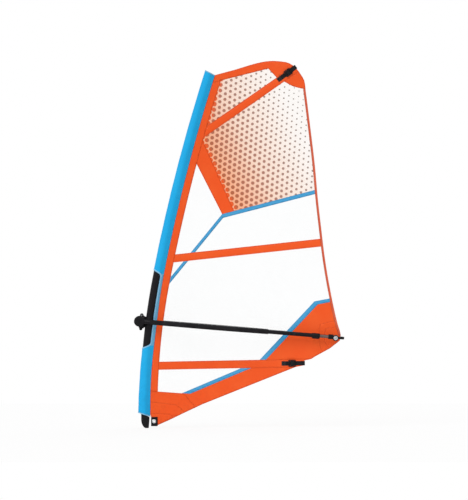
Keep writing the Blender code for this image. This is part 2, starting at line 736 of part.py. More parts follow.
def build_sail():
    lowest = 0.075
    band_front = [
        by_mast(z, sleeve_rear(z) + LUFF_BAND_GAP).xz for z in stations(lowest, SLEEVE_TOP)
    ]
    lowest = 0.05
    band_rear = [by_mast(z, LUFF_BAND_REAR).xz for z in stations(lowest, SLEEVE_TOP)]
    head_edge = smooth(HEAD_EDGE, CURVE_STEP)
    leech = [head_edge[-2]] + smooth(LEECH_EDGE, CLOTH_GRID) + [Vector(CLEW_CORNER[0])]
    leech_inner = moved_left(leech, -LEECH_TAPE)

    top_up, top_down = edge_of(TOP_POCKET, 1), edge_of(TOP_POCKET, -1)
    mid_up, mid_down = edge_of(MIDDLE_POCKET, 1), edge_of(MIDDLE_POCKET, -1)
    low_up, low_down = edge_of(LOWER_POCKET, 1), edge_of(LOWER_POCKET, -1)
    stripe_up, stripe_down = edge_of(UPPER_STRIPE, 1), edge_of(UPPER_STRIPE, -1)
    slant_left, slant_right = edge_of(SLANT_STRIPE, 1), edge_of(SLANT_STRIPE, -1)
    clew_up, clew_down = edge_of(CLEW_STRIPE, 1), edge_of(CLEW_STRIPE, -1)
    rise_left, rise_right = edge_of(CLEW_SLANT, 1), edge_of(CLEW_SLANT, -1)
    foot_up, foot_down = edge_of(FOOT_STRIPE, 1), edge_of(FOOT_STRIPE, -1)

    # Head
    notch = meet(top_up, upright(HEAD_NOTCH_X))
    patch_start = meet(top_down, upright(CORNER_PATCH[0][0]))
    patch_end = level(CORNER_PATCH[2][1])
    patch_back = point_on(leech_inner, crossing(leech_inner, patch_end))
    patch = smooth([patch_start, CORNER_PATCH[1], patch_back], CURVE_STEP)
    shore = head_edge + leech[2:4]
    head = (
        stretch(band_front, crossing(band_front, HEAD_SEAM), crossing(band_front, level(LUFF_TOP)))
        + stretch(shore, 0, crossing(shore, top_up))
        + [notch, Vector(HEAD_SEAM[1]), point_on(band_rear, crossing(band_rear, HEAD_SEAM))]
    )
    panel("head_panel", head, "sail_orange")
    corner = stretch(shore, crossing(shore, top_down), crossing(shore, patch_end)) + patch[::-1]
    panel("head_corner", corner, "sail_orange")
    pocket_outline = between(band_rear, top_down, top_up) + between(shore, top_up, top_down)
    pocket("top_pocket", TOP_POCKET, pocket_outline, TOP_BATTEN)

    upper_dots = (
        between(band_rear, top_up, HEAD_SEAM) + [Vector(HEAD_SEAM[1]), notch]
    )
    panel("upper_dotted_panel", upper_dots, "dotted_film")
    dots_bottom = meet(DOTTED_SEAM, stripe_up)
    lower_dots = (
        between(band_rear, top_down, DOTTED_SEAM)
        + [dots_bottom]
        + between(leech_inner, stripe_up, patch_end)
        + patch[::-1]
    )
    panel("lower_dotted_panel", lower_dots, "dotted_film")

    # Shoulder, upper stripe and the windows beside it
    knee_up = meet(stripe_up, slant_left)
    knee_down = meet(stripe_down, slant_right)
    shoulder_end = (Vector(SHOULDER_SEAM[0]), knee_up)
    panel(
        "shoulder_panel",
        between(band_rear, shoulder_end, DOTTED_SEAM) + [dots_bottom, knee_up],
        "sail_orange",
    )
    stripe = (
        [meet(slant_left, mid_up), knee_up]
        + between(leech_inner, stripe_up, stripe_down)
        + [knee_down, meet(slant_right, mid_up)]
    )
    panel("upper_stripe", stripe, "stripe_blue")
    panel(
        "luff_window",
        between(band_rear, mid_up, shoulder_end) + [knee_up, meet(slant_left, mid_up)],
        "clear_film",
    )
    panel(
        "mid_window",
        [meet(slant_right, mid_up), knee_down] + between(leech_inner, stripe_down, mid_up),
        "clear_film",
    )
    middle = between(band_rear, mid_down, mid_up) + between(leech_inner, mid_up, mid_down)
    pocket("middle_pocket", MIDDLE_POCKET, middle, MIDDLE_BATTEN)

    # Main window, with the stripe's tail and the small window ahead of it
    tail_left = between(band_rear, slant_right, slant_left)
    panel(
        "stripe_tail",
        tail_left + [meet(slant_left, mid_down), meet(slant_right, mid_down)],
        "stripe_blue",
    )
    panel(
        "small_window",
        between(band_rear, slant_left, mid_down) + [meet(slant_left, mid_down)],
        "clear_film",
    )
    bend_up, bend_down = meet(clew_up, rise_left), meet(clew_down, rise_right)
    main = (
        between(band_rear, low_up, slant_right)
        + [meet(slant_right, mid_down)]
        + between(leech_inner, mid_down, clew_up)
        + [bend_up, meet(rise_left, low_up)]
    )
    panel("main_window", main, "clear_film")

    # Clew
    clew = (
        [meet(rise_left, low_up), bend_up]
        + between(leech_inner, clew_up, clew_down)
        + [bend_down, meet(rise_right, low_up)]
    )
    panel("clew_stripe", clew, "stripe_blue")
    foot_line = [Vector(p) for p in CLEW_CORNER + FOOT_EDGE]
    leech_end = len(leech_inner) - 1
    clew_outline = (
        [meet(rise_right, low_up), bend_down]
        + stretch(leech_inner, crossing(leech_inner, clew_down), leech_end)
        + stretch(foot_line, 0, crossing(foot_line, low_up))
    )
    clew_panel = panel("clew_panel", clew_outline, "sail_orange")
    tape = (
        stretch(leech, crossing(leech, patch_end), len(leech) - 1)
        + stretch(leech_inner, leech_end, crossing(leech_inner, patch_end))
    )
    panel("leech_tape", tape, "sail_orange", TAPE_CLOTH)

    # Foot
    lower = between(band_rear, low_down, low_up) + between(foot_line, low_up, low_down)
    pocket("lower_pocket", LOWER_POCKET, lower, LOWER_BATTEN)
    seam_front = meet(TACK_SEAM, foot_up)
    panel(
        "lower_window",
        between(band_rear, TACK_SEAM, low_down) + [meet(foot_up, low_down), seam_front],
        "clear_film",
    )
    seam_back = meet(TACK_SEAM, foot_down)
    panel(
        "foot_stripe",
        [seam_front, meet(foot_up, low_down), meet(foot_down, low_down), seam_back],
        "stripe_blue",
    )
    foot_outline = (
        stretch(band_front, crossing(band_front, TACK_SEAM), 0)
        + [Vector(p) for p in reversed(TACK_CORNER)]
        + stretch(foot_line, len(foot_line) - 1, crossing(foot_line, low_down))
        + [meet(foot_down, low_down), seam_back]
    )
    foot_panel = panel("foot_panel", foot_outline, "sail_orange")
    band = between(band_front, TACK_SEAM, HEAD_SEAM) + between(band_rear, HEAD_SEAM, TACK_SEAM)
    panel("luff_band", band, "sail_orange")
    return clew_panel, foot_panel


def ring_piece(name, centre, size):
    """A pressed ring: two flanges and the neck that joins them through the cloth."""
    outer, hole, half_depth, web = size
    neck = hole + RING_NECK
    rim = outer - RING_LIP[0]
    lip = half_depth - RING_LIP[1]
    side = [(half_depth, hole), (half_depth, rim), (lip, outer), (web, outer), (web, neck)]
    profile = side + [(-y, r) for y, r in reversed(side)]
    bm = turned_y(profile, centre, 20, closed=True)
    give_draft(bm)
    piece(name, bm, "steel")
    return neck


def ring_hole(obj, name, centre, radius):
    half = 0.02
    combine(obj, piece(name, turned_y([(-half, radius), (half, radius)], centre, 20)))


def build_rings(clew_panel, foot_panel):
    clearance = 2 * FIT_GAP
    neck = ring_piece("clew_ring", CLEW_RING, CLEW_RING_SIZE)
    ring_hole(clew_panel, "clew_hole", CLEW_RING, neck + clearance)
    x0, z0, x1, z1 = TACK_PLATE
    corner = TACK_PLATE_CORNER
    outline = (
        arc((x1 - corner, z1 - corner), corner, 0, 90, 2)
        + arc((x0 + corner, z1 - corner), corner, 90, 180, 2)
        + arc((x0 + corner, z0 + corner), corner, 180, 270, 2)
        + arc((x1 - corner, z0 + corner), corner, 270, 360, 2)
    )
    near = PANEL_CLOTH / 2 + FIT_GAP
    neck = ring_piece("tack_ring", TACK_RING, TACK_RING_SIZE)
    ring_hole(foot_panel, "tack_hole", TACK_RING, neck + clearance)
    depth = TACK_PLATE_DEPTH
    for name, low in (("tack_plate_near", -near - depth), ("tack_plate_far", near)):
        plate = piece(name, cloth(outline, low, low + depth, 0.0), "moulded_black")
        ring_hole(plate, name + "_hole", TACK_RING, neck + clearance)


def strap_and_buckle(name, line, place):
    """Webbing folded round the batten's end, with a ladder-lock buckle on its near leg."""
    start, end = Vector(line[0]), Vector(line[1])
    way = (end - start).normalized()
    side = Vector((-way.y, way.x)) * (STRAP_WIDTH / 2)
    length = (end - start).length
    inner = POCKET_DEPTH / 2 + STRAP_TUCK
    outer = inner + STRAP_CLOTH
    along = [length * i / STRAP_STEPS for i in range(STRAP_STEPS + 1)]
    near_out = [(s, -outer) for s in along] + [(length + STRAP_CLOTH, -inner)]
    far_out = [(length + STRAP_CLOTH, inner)] + [(s, outer) for s in reversed(along)]
    far_in = [(s, inner) for s in along]
    near_in = [(s, -inner) for s in reversed(along)]
    profile = near_out + far_out + far_in + near_in
    rings = []
    for edge in (-1, 1):
        points = [(start + way * s + side * edge, y) for s, y in profile]
        rings.append([(p.x, y, p.y) for p, y in points])
    bm = loft(rings)
    give_draft(bm)
    piece(name + "_strap", bm, "webbing_black")

    long, wide, thick = BUCKLE_SIZE
    slot_half_long, slot_half_wide, slot_middle = BUCKLE_SLOT
    centre = start + way * (length * place)
    low = -outer - 2 * FIT_GAP - thick

    def around(half_long, half_wide, middle=0.0):
        corners = [(-1, -1), (1, -1), (1, 1), (-1, 1)]
        across = side.normalized()
        return [
            centre + way * (middle + half_long * a) + across * (half_wide * b) for a, b in corners
        ]

    body = cloth(around(long / 2, wide / 2), low, low + thick, 0)
    frame = piece(name + "_buckle", body, "moulded_black")
    for number, middle in ((1, -slot_middle), (2, slot_middle)):
        outline = around(slot_half_long, slot_half_wide, middle)
        slot = cloth(outline, low - thick, low + 2 * thick, 0)
        combine(frame, piece(f"{name}_slot_{number}", slot))


# Mast foot

def sheave_profile(rim, bore, shape):
    """A grooved wheel as (y, radius); shape is half its width, half the groove's floor, its depth."""
    wide, floor_half, deep = shape
    groove = rim - deep
    return [
        (-wide, bore), (-wide, rim), (-floor_half, groove), (floor_half, groove), (wide, rim),
        (wide, bore),
    ]


def build_foot():
    rounding = arc(*FOOT_ROUNDING)
    outline = (
        [(FOOT_BACK, 0.0500), (FOOT_BACK, 0.0600), (-0.0050, 0.0695), (-0.0050, FOOT_TOP)]
        + [(FOOT_FRONT, FOOT_TOP), (FOOT_FRONT, 0.0400)]
        + [(x, max(0.0, z)) for x, z in rounding[1:-1]]
        + [(-0.0080, 0.0), (0.0085, 0.0), (0.0112, 0.0028)]
    )
    half = FOOT_WIDTH / 2
    foot = piece("mast_foot", prism(outline, -half, half), "moulded_black")
    softened = foot.modifiers.new("soft_edges", "BEVEL")
    softened.width = FOOT_EDGE_SOFT
    softened.segments = 2
    softened.limit_method = "ANGLE"
    softened.angle_limit = math.radians(60)
    shoulder = MAST_BOTTOM - FIT_GAP
    profile = [
        (FOOT_TOP - 0.004, 0.0170), (FOOT_TOP, MAST_RADIUS), (shoulder, MAST_RADIUS),
        (shoulder, FOOT_PLUG_RADIUS), (FOOT_PLUG_TOP - 0.006, FOOT_PLUG_RADIUS),
        (FOOT_PLUG_TOP, 0.0150),
    ]
    plug = piece("foot_plug", turned_z(profile, (MAST_X, 0)))
    combine(foot, plug, "UNION")
    x, z = FOOT_SHEAVE
    room = FOOT_SHEAVE_RADIUS + FOOT_SLOT_ROOM
    slot = arc((x, z), room, 90, 270, 6) + [(2 * FOOT_BACK, z - room), (2 * FOOT_BACK, z + room)]
    combine(foot, piece("sheave_slot", prism(slot, -FOOT_SLOT / 2, FOOT_SLOT / 2)))
    hole = PIN_RADIUS + FIT_GAP
    combine(foot, piece("axle_hole", turned_y([(-0.015, hole), (0.015, hole)], (x, z), 12)))
    socket = [(-0.01, SOCKET_RADIUS), (SOCKET_DEPTH, SOCKET_RADIUS)]
    combine(foot, piece("pin_socket", turned_z(socket, (0, 0))))
    well = BUTTON_RADIUS + FIT_GAP
    bore = [(half - BUTTON_WELL, well), (half + 0.01, well)]
    combine(foot, piece("button_well", turned_y(bore, (0, BUTTON_HEIGHT), 12)))

    turned = turned_y(sheave_profile(FOOT_SHEAVE_RADIUS, hole, FOOT_SHEAVE_GROOVE), (0, 0), closed=True)
    piece("foot_sheave", turned, "bare_aluminium").location = (x, 0, z)
    axle = [(-AXLE_HALF, PIN_RADIUS), (AXLE_HALF, PIN_RADIUS)]
    piece("foot_axle", turned_y(axle, (x, z), 12), "steel")
    inner = half - BUTTON_SUNK
    outer = half + BUTTON_STAND
    soft = 0.001
    button = [(inner, BUTTON_RADIUS), (outer - soft, BUTTON_RADIUS), (outer, BUTTON_RADIUS - soft)]
    piece("release_button", turned_y(button, (0, BUTTON_HEIGHT), 12), "steel")


# Boom head

def clamp_frame():
    """The frame of the clamp: on the straight line that best follows the bent mast where it
    slides, square across from the head barrel."""
    middle = CLAMP_HEIGHT + SLIDE_MIDDLE * math.cos(mast_line(CLAMP_HEIGHT)[1])
    x, lean = mast_line(middle)
    start = by_mast(middle, SLIDE_SAG)
    along = Vector((math.sin(lean), 0, math.cos(lean)))
    barrel = Vector((HEAD_AXIS[0], 0, HEAD_AXIS[1]))
    place = start + along * (barrel - start).dot(along)
    reach = (barrel - place).length
    return frame_at("clamp_frame", place, lean), reach


def c_section(inner, outer, half_height, mouth):
    """An open ring round the mast, its mouth facing aft."""
    start, end = math.degrees(mouth), 360 - math.degrees(mouth)
    steps = 12
    outline = arc((0, 0), outer, start, end, steps) + arc((0, 0), inner, end, start, steps)
    return loft([[(x, y, z) for x, y in outline] for z in (-half_height, half_height)])


def build_clamp(frame, reach):
    clamp = piece(
        "head_clamp", c_section(CLAMP_BORE, CLAMP_OUTER, CLAMP_HALF, CLAMP_MOUTH), "moulded_black", frame
    )
    block = [
        (-reach, SADDLE_LOW), (SADDLE_BACK, SADDLE_LOW), (SADDLE_BACK, SADDLE_HIGH),
        (-reach, SADDLE_HIGH),
    ]
    combine(clamp, piece("saddle", prism(block, -SADDLE_HALF, SADDLE_HALF), None, frame), "UNION")
    lug_x, lug_z, lug_radius = LEVER_LUG
    low_x, low_z, low_radius = LOWER_LUG
    sunk, web_back, web_front = LUG_WEB
    web = [
        (-reach + lug_x, SADDLE_HIGH - sunk), (SADDLE_BACK, SADDLE_HIGH - sunk),
        (SADDLE_BACK, web_back), (-reach + lug_x, lug_z + web_front),
    ]
    combine(clamp, piece("lug_web", prism(web, -LUG_HALF, LUG_HALF), None, frame), "UNION")
    upper = turned_y([(-LUG_HALF, lug_radius), (LUG_HALF, lug_radius)], (-reach + lug_x, lug_z))
    combine(clamp, piece("upper_lug", upper, None, frame), "UNION")
    wide = SADDLE_HALF - 0.002
    lower = turned_y([(-wide, low_radius), (wide, low_radius)], (-reach + low_x, low_z))
    combine(clamp, piece("lower_lug", lower, None, frame), "UNION")
    waist = BARREL_WAIST + 2 * FIT_GAP
    saddle_cut = turned_y([(-0.03, waist), (0.03, waist)], (-reach, 0), 24)
    combine(clamp, piece("saddle_cut", saddle_cut, None, frame))
    bore = turned_z([(-0.05, CLAMP_BORE), (0.05, CLAMP_BORE)], (0, 0), 32)
    combine(clamp, piece("mast_bore", bore, None, frame))
    hole = PIN_RADIUS + FIT_GAP
    pin_hole = turned_y([(-0.03, hole), (0.03, hole)], (-reach + lug_x, lug_z), 12)
    pin_cut = piece("pin_hole", pin_hole, None, frame)
    combine(clamp, pin_cut)
    liner = c_section(LINER_BORE, LINER_OUTER, CLAMP_HALF - 0.001, CLAMP_MOUTH + math.radians(4))
    piece("clamp_liner", liner, "rubber_black", frame)

    pin = turned_y([(-LEVER_HALF, PIN_RADIUS), (LEVER_HALF, PIN_RADIUS)], (-reach + lug_x, lug_z), 12)
    piece("lever_pin", pin, "steel", frame)

    # The lever is drawn from its pin and curves over the front of the barrel's waist
    inner, outer = LEVER_ARC
    centre = (-lug_x, -lug_z)
    heel_back, heel_up = LEVER_HEEL
    outline = (
        arc(centre, outer, 240, 92, 12)
        + arc((0, 0), LEVER_HUB, 110, -90, 8)
        + [(centre[0] - heel_back, centre[1] + heel_up)]
        + arc(centre, inner, 98, 240, 12)
    )
    lever = piece("clamp_lever", prism(outline, -LEVER_HALF, LEVER_HALF), "moulded_black", frame)
    lever.location = (-reach + lug_x, 0, lug_z)
    gap_half = LUG_HALF + 2 * FIT_GAP
    gap_radius = lug_radius + 0.0008
    fork = turned_y([(-gap_half, gap_radius), (gap_half, gap_radius)], (-reach + lug_x, lug_z))
    combine(lever, piece("lever_fork", fork, None, frame))
    combine(lever, pin_cut)


def build_barrel(frame):
    side = [(WAIST_HALF + y, radius) for y, radius in BARREL_SHOULDER]
    side += [(BARREL_HALF - y, radius) for y, radius in BARREL_END]
    profile = [(-y, r) for y, r in reversed(side)] + side
    barrel = piece("head_barrel", turned_y(profile, (0, 0), 24), "moulded_black", frame)
    way = (Vector(ARM_PATH[1]) - Vector(ARM_PATH[0])).normalized()
    end_gap, side_gap, beyond = ARM_SOCKET
    long, half_high, deep = GROOVE_SIZE
    for name, sign in (("port", 1), ("starboard", -1)):
        start = Vector(ARM_PATH[0]) - way * end_gap
        rings = []
        for distance in (0, beyond):
            p = start + way * distance
            section = circle(ARM_RADIUS + side_gap)
            rings.append([(p.x - way.y * a, sign * (p.y + way.x * a), b) for a, b in section])
        combine(barrel, piece("arm_socket_" + name, loft(rings), None, frame))
        for number, height in enumerate(GROOVES, 1):
            low, high = sorted((sign * (BARREL_HALF - deep), sign * (BARREL_HALF + 0.01)))
            bottom, top = height - half_high, height + half_high
            box = [(-long, bottom), (long, bottom), (long, top), (-long, top)]
            combine(barrel, piece(f"groove_{name}_{number}", prism(box, low, high), None, frame))


def arm_line():
    return smooth(ARM_PATH, 0.06)


def rings_along(line, radius, sign, sides=ARM_SIDES):
    """Rings square to a line of (x, y) points, mirrored for the starboard side."""
    rings = []
    for i, point in enumerate(line):
        before = line[max(0, i - 1)]
        after = line[min(len(line) - 1, i + 1)]
        side = normal_of(before, after)
        ring = [point + side * a for a, _ in circle(radius, sides)]
        heights = [b for _, b in circle(radius, sides)]
        rings.append([(p.x, sign * p.y, b) for p, b in zip(ring, heights)])
    return rings


def build_arm(frame, name, sign):
    line = arm_line()
    bore = [Vector((ARM_PATH[-1][0], TAIL_Y)), Vector((BORE_START, TAIL_Y))]
    straight = rings_along(bore[::-1], ARM_BORE, sign)[::-1]
    piece("boom_arm_" + name, loft(rings_along(line, ARM_RADIUS, sign) + straight), "carbon_black", frame)
    covered = between(line, upright(GRIP_START), upright(GRIP_END))
    outside = rings_along(covered, GRIP_RADIUS, sign)
    inside = rings_along(covered, ARM_RADIUS + 2 * FIT_GAP, sign)[::-1]
    piece("grip_" + name, loft(outside + inside, closed=True), "foam_black", frame)


def build_collar(frame, name, sign):
    loose = ARM_RADIUS + FIT_GAP
    tight = EXTENSION_RADIUS + FIT_GAP
    arm_end = ARM_PATH[-1][0] + 0.0010
    front_soft, along_soft, rear_soft = COLLAR_SOFT
    profile = [
        (COLLAR_START, loose), (COLLAR_START, COLLAR_RADIUS - front_soft),
        (COLLAR_START + along_soft, COLLAR_RADIUS), (COLLAR_END - along_soft, COLLAR_RADIUS),
        (COLLAR_END, COLLAR_RADIUS - rear_soft), (COLLAR_END, tight), (arm_end, tight),
        (arm_end, loose),
    ]
    pin_y = sign * TAIL_Y
    turned = turned_x(profile, (pin_y, 0), closed=True)
    collar = piece("collar_" + name, turned, "moulded_black", frame)
    for number, offset in enumerate(COLLAR_LUG_STARTS, 1):
        start = COLLAR_START + offset
        ends = (start, start + COLLAR_LUG_LENGTH)
        rings = [[(x, pin_y + a, b) for a, b in COLLAR_LUG] for x in ends]
        combine(collar, piece(f"lug_{name}_{number}", loft(rings), None, frame), "UNION")

    # The lever is drawn from its pin, below the tube, and wraps the tube's outer side
    inner, outer = CAM_ARC
    low, high = COLLAR_START + CAM_ENDS[0], COLLAR_END - CAM_ENDS[1]
    middle = (low + high) / 2
    centre = (0.0, CAM_PIN_DROP)
    wrap = arc(centre, outer, -82, 68, 10) + arc(centre, inner, 68, -76, 10)
    rings = [[(x - middle, sign * a, b) for a, b in wrap + CAM_HUB] for x in (low, high)]
    lever = piece("collar_lever_" + name, loft(rings), "moulded_black", frame)
    lever.location = (middle, pin_y, -CAM_PIN_DROP)


def build_extension(frame, name, sign):
    outer, inner = EXTENSION_RADIUS, EXTENSION_RADIUS - EXTENSION_WALL
    line = [Vector((EXTENSION_START, TAIL_Y)), Vector((EXTENSION_END, TAIL_Y))]
    outside = rings_along(line, outer, sign)
    inside = rings_along(line, inner, sign)[::-1]
    piece("extension_tube_" + name, loft(outside + inside, closed=True), "bare_aluminium", frame)
    profile = sheave_profile(SHEAVE_RADIUS, STUD_RADIUS + FIT_GAP, SHEAVE_GROOVE)
    sheave = piece("tail_sheave_" + name, turned_y(profile, (0, 0), 20, closed=True), "steel", frame)
    middle = CHEEK_INNER + SHEAVE_FLOOR + 0.0005 + SHEAVE_GROOVE[0]
    sheave.location = (CHEEK[0], sign * middle, CHEEK[1])


def build_tail(frame):
    """Both sockets, the cheeks that hold the sheaves, and the bow that joins them past the clew."""
    half_wide, half_high = BOW_SIZE
    edge = BOW_EDGE
    leg = TAIL_Y - 0.0010
    corner = arc((BOW_BACK - BOW_CORNER, leg - BOW_CORNER), BOW_CORNER, 90, 0, 4)
    half_path = [(CHEEK[0] + BOW_FRONT, leg)] + corner
    line = [Vector(p) for p in half_path + [(x, -y) for x, y in reversed(half_path)]]
    section = [
        (half_wide - edge, -half_high), (half_wide, edge - half_high), (half_wide, half_high - edge),
        (half_wide - edge, half_high), (edge - half_wide, half_high), (-half_wide, half_high - edge),
        (-half_wide, edge - half_high), (edge - half_wide, -half_high),
    ]
    rings = []
    for i, point in enumerate(line):
        side = normal_of(line[max(0, i - 1)], line[min(len(line) - 1, i + 1)])
        rings.append([
            (point.x + side.x * a, point.y + side.y * a, CHEEK[1] / 2 + b) for a, b in section
        ])
    tail = piece("tail_fitting", loft(rings), "moulded_black", frame)
    for name, sign in (("port", 1), ("starboard", -1)):
        centre = (sign * TAIL_Y, 0)
        block = [
            (BLOCK_START, BLOCK_RADIUS - 0.0015), (BLOCK_START + 0.0015, BLOCK_RADIUS),
            (BLOCK_END - 0.0030, BLOCK_RADIUS), (BLOCK_END, BLOCK_RADIUS - 0.0030),
        ]
        combine(tail, piece("block_" + name, turned_x(block, centre), None, frame), "UNION")
        low, high = sorted((sign * CHEEK_INNER, sign * CHEEK_OUTER))
        cheek = turned_y([(low, CHEEK_RADIUS), (high, CHEEK_RADIUS)], CHEEK, 24)
        combine(tail, piece("cheek_" + name, cheek, None, frame), "UNION")
    for name, sign in (("port", 1), ("starboard", -1)):
        centre = (sign * TAIL_Y, 0)
        socket = EXTENSION_RADIUS + FIT_GAP + 0.0002
        bore = [(BLOCK_START - 0.01, socket), (EXTENSION_END + 2 * FIT_GAP, socket)]
        combine(tail, piece("tube_bore_" + name, turned_x(bore, centre, ARM_SIDES), None, frame))
        floor, beyond = CHEEK_INNER + SHEAVE_FLOOR, 0.065
        inner, outer = STUD_RADIUS, SHEAVE_RADIUS + 0.0008
        rings = []
        for y, radius in ((floor, inner), (floor, outer), (beyond, outer), (beyond, inner)):
            rings.append([(CHEEK[0] + a, sign * y, CHEEK[1] + b) for a, b in circle(radius, 20)])
        combine(tail, piece("sheave_pocket_" + name, loft(rings, closed=True), None, frame))
        low, high = sorted((sign * floor, sign * beyond))
        x0, x1, z0, z1 = LINE_GAP
        opening = [(CHEEK[0] + x, CHEEK[1] + z) for x, z in ((x0, z0), (x1, z0), (x1, z1), (x0, z1))]
        combine(tail, piece("line_gap_" + name, prism(opening, low, high), None, frame))


def main():
    for obj in list(bpy.data.objects):
        bpy.data.objects.remove(obj, do_unlink=True)
    build_mast()
    build_sleeve()
    build_binding()
    clew_panel, foot_panel = build_sail()
    build_rings(clew_panel, foot_panel)
    strap_and_buckle("top", TOP_STRAP, TOP_BUCKLE)
    strap_and_buckle("lower", LOWER_STRAP, LOWER_BUCKLE)
    build_foot()
    clamp, reach = clamp_frame()
    build_clamp(clamp, reach)
    boom = frame_at("boom_frame", (HEAD_AXIS[0], 0, HEAD_AXIS[1]), BOOM_SLOPE)
    build_barrel(boom)
    for name, sign in (("port", 1), ("starboard", -1)):
        build_arm(boom, name, sign)
        build_collar(boom, name, sign)
        build_extension(boom, name, sign)
    build_tail(boom)


main()
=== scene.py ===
import math

import bmesh
import bpy
from mathutils import Matrix, Vector, noise


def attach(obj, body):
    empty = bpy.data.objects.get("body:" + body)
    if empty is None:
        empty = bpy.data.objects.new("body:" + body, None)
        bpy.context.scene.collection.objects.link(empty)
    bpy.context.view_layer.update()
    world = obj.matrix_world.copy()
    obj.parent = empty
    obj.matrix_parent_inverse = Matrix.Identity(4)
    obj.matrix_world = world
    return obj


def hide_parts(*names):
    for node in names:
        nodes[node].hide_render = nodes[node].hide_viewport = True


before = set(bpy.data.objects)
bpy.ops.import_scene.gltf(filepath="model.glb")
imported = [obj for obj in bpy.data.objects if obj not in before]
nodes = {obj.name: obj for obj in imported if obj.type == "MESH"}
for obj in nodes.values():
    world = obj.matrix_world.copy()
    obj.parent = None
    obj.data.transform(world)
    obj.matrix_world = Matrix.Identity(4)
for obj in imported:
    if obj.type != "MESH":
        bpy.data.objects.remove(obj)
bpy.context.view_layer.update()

mm = 0.001


# Camera: square to the sail, far away with a long lens, as in the catalogue picture
cameraValues = {
    "metresPerPixel": 0.00549, "imageHeight": 500, "centre": (0.4787, 0.9772),
    "distance": 28.0, "sensor": 36.0, "clip": (0.5, 100.0),
}


def linked(name, data):
    obj = bpy.data.objects.new(name, data)
    bpy.context.scene.collection.objects.link(obj)
    return obj


def makeCamera():
    v = cameraValues
    data = bpy.data.cameras.new("camera")
    camera = linked("camera", data)
    camera.location = (v["centre"][0], -v["distance"], v["centre"][1])
    camera.rotation_euler = (math.radians(90), 0, 0)
    data.sensor_width = v["sensor"]
    data.lens = v["sensor"] * v["distance"] / (v["metresPerPixel"] * v["imageHeight"])
    data.clip_start, data.clip_end = v["clip"]
    bpy.context.scene.camera = camera


makeCamera()


# Light and floor
lightValues = {
    "world": 0.62,
    "front": {"strength": 1.25, "turn": (52, 0, -28), "spread": 40},
    "back": {"strength": 0.7, "turn": (55, 0, 150), "spread": 50},
}
floorValues = {
    "size": 9.0, "place": (0.5, 0, -0.0005), "colour": (0.93, 0.93, 0.93, 1),
    "roughness": 0.9, "gloss": 0.1, "shadow": 0.18,
}


def addNode(tree, kind, inputs=None, **settings):
    made = tree.nodes.new("ShaderNode" + kind)
    for key, value in settings.items():
        setattr(made, key, value)
    for key, value in (inputs or {}).items():
        if isinstance(value, bpy.types.NodeSocket):
            tree.links.new(value, made.inputs[key])
        else:
            made.inputs[key].default_value = value
    return made


def calc(tree, operation, a, b=0.0, c=None):
    inputs = {0: a, 1: b}
    if c is not None:
        inputs[2] = c
    return addNode(tree, "Math", inputs, operation=operation).outputs[0]


def seenAsBackground(tree):
    # camera, mirror and see-through rays get the white backdrop
    rays = addNode(tree, "LightPath").outputs
    mirror = calc(tree, "MAXIMUM", rays["Is Glossy Ray"], rays["Is Transmission Ray"])
    return calc(tree, "MAXIMUM", rays["Is Camera Ray"], mirror)


def makeLight():
    v = lightValues
    scene = bpy.context.scene
    scene.view_settings.view_transform = "Standard"
    scene.world = bpy.data.worlds.new("softStudio")
    scene.world.use_nodes = True
    tree = scene.world.node_tree
    plain = tree.nodes["Background"]
    plain.inputs["Strength"].default_value = v["world"]
    plain.inputs["Color"].default_value = (1, 1, 1, 1)
    white = addNode(tree, "Background", {"Color": (1, 1, 1, 1), "Strength": 1.0})
    ways = {0: seenAsBackground(tree), 1: plain.outputs[0], 2: white.outputs[0]}
    mixed = addNode(tree, "MixShader", ways)
    tree.links.new(mixed.outputs[0], tree.nodes["World Output"].inputs["Surface"])
    for name in ("front", "back"):
        data = bpy.data.lights.new(name + "Light", "SUN")
        data.energy = v[name]["strength"]
        data.angle = math.radians(v[name]["spread"])
        lamp = linked(name + "Light", data)
        lamp.rotation_euler = [math.radians(a) for a in v[name]["turn"]]


def makeFloor():
    v = floorValues
    bpy.ops.object.select_all(action="DESELECT")
    bpy.ops.mesh.primitive_plane_add(size=v["size"], location=v["place"])
    floor = bpy.context.object
    floor.name = "floor"
    material = bpy.data.materials.new("paleFloor")
    material.use_nodes = True
    tree = material.node_tree
    shader = tree.nodes["Principled BSDF"]
    shader.inputs["Base Color"].default_value = v["colour"]
    shader.inputs["Roughness"].default_value = v["roughness"]
    shader.inputs["Specular IOR Level"].default_value = v["gloss"]
    glow = addNode(tree, "Emission", {"Color": (1, 1, 1, 1), "Strength": 1.0})
    share = calc(tree, "MULTIPLY", seenAsBackground(tree), 1 - v["shadow"])
    mixed = addNode(tree, "MixShader", {0: share, 1: shader.outputs[0], 2: glow.outputs[0]})
    tree.links.new(mixed.outputs[0], tree.nodes["Material Output"].inputs["Surface"])
    floor.data.materials.append(material)


makeLight()
makeFloor()
print("camera, light and floor made")


# Looks: colours are the photograph's, written as 0 to 255
def colourOf(red, green, blue):
    values = []
    for value in (red, green, blue):
        value /= 255
        values.append(value / 12.92 if value <= 0.04045 else ((value + 0.055) / 1.055) ** 2.4)
    return (*values, 1.0)


def newLook(name, colour, roughness, metallic=0.0, gloss=0.2):
    material = bpy.data.materials.new(name)
    material.use_nodes = True
    tree = material.node_tree
    shader = tree.nodes["Principled BSDF"]
    shader.inputs["Base Color"].default_value = colourOf(*colour)
    shader.inputs["Roughness"].default_value = roughness
    shader.inputs["Metallic"].default_value = metallic
    shader.inputs["Specular IOR Level"].default_value = gloss
    return material, tree, shader


def putOn(tree, shader, **found):
    # sets what was mixed on the finish: colour, rough or seen
    inputs = {"colour": "Base Color", "rough": "Roughness", "seen": "Alpha"}
    for key, socket in found.items():
        tree.links.new(socket, shader.inputs[inputs[key]])


def giveBump(tree, shader, height, distance, strength=1.0):
    inputs = {"Height": height, "Distance": distance, "Strength": strength}
    tree.links.new(addNode(tree, "Bump", inputs).outputs[0], shader.inputs["Normal"])


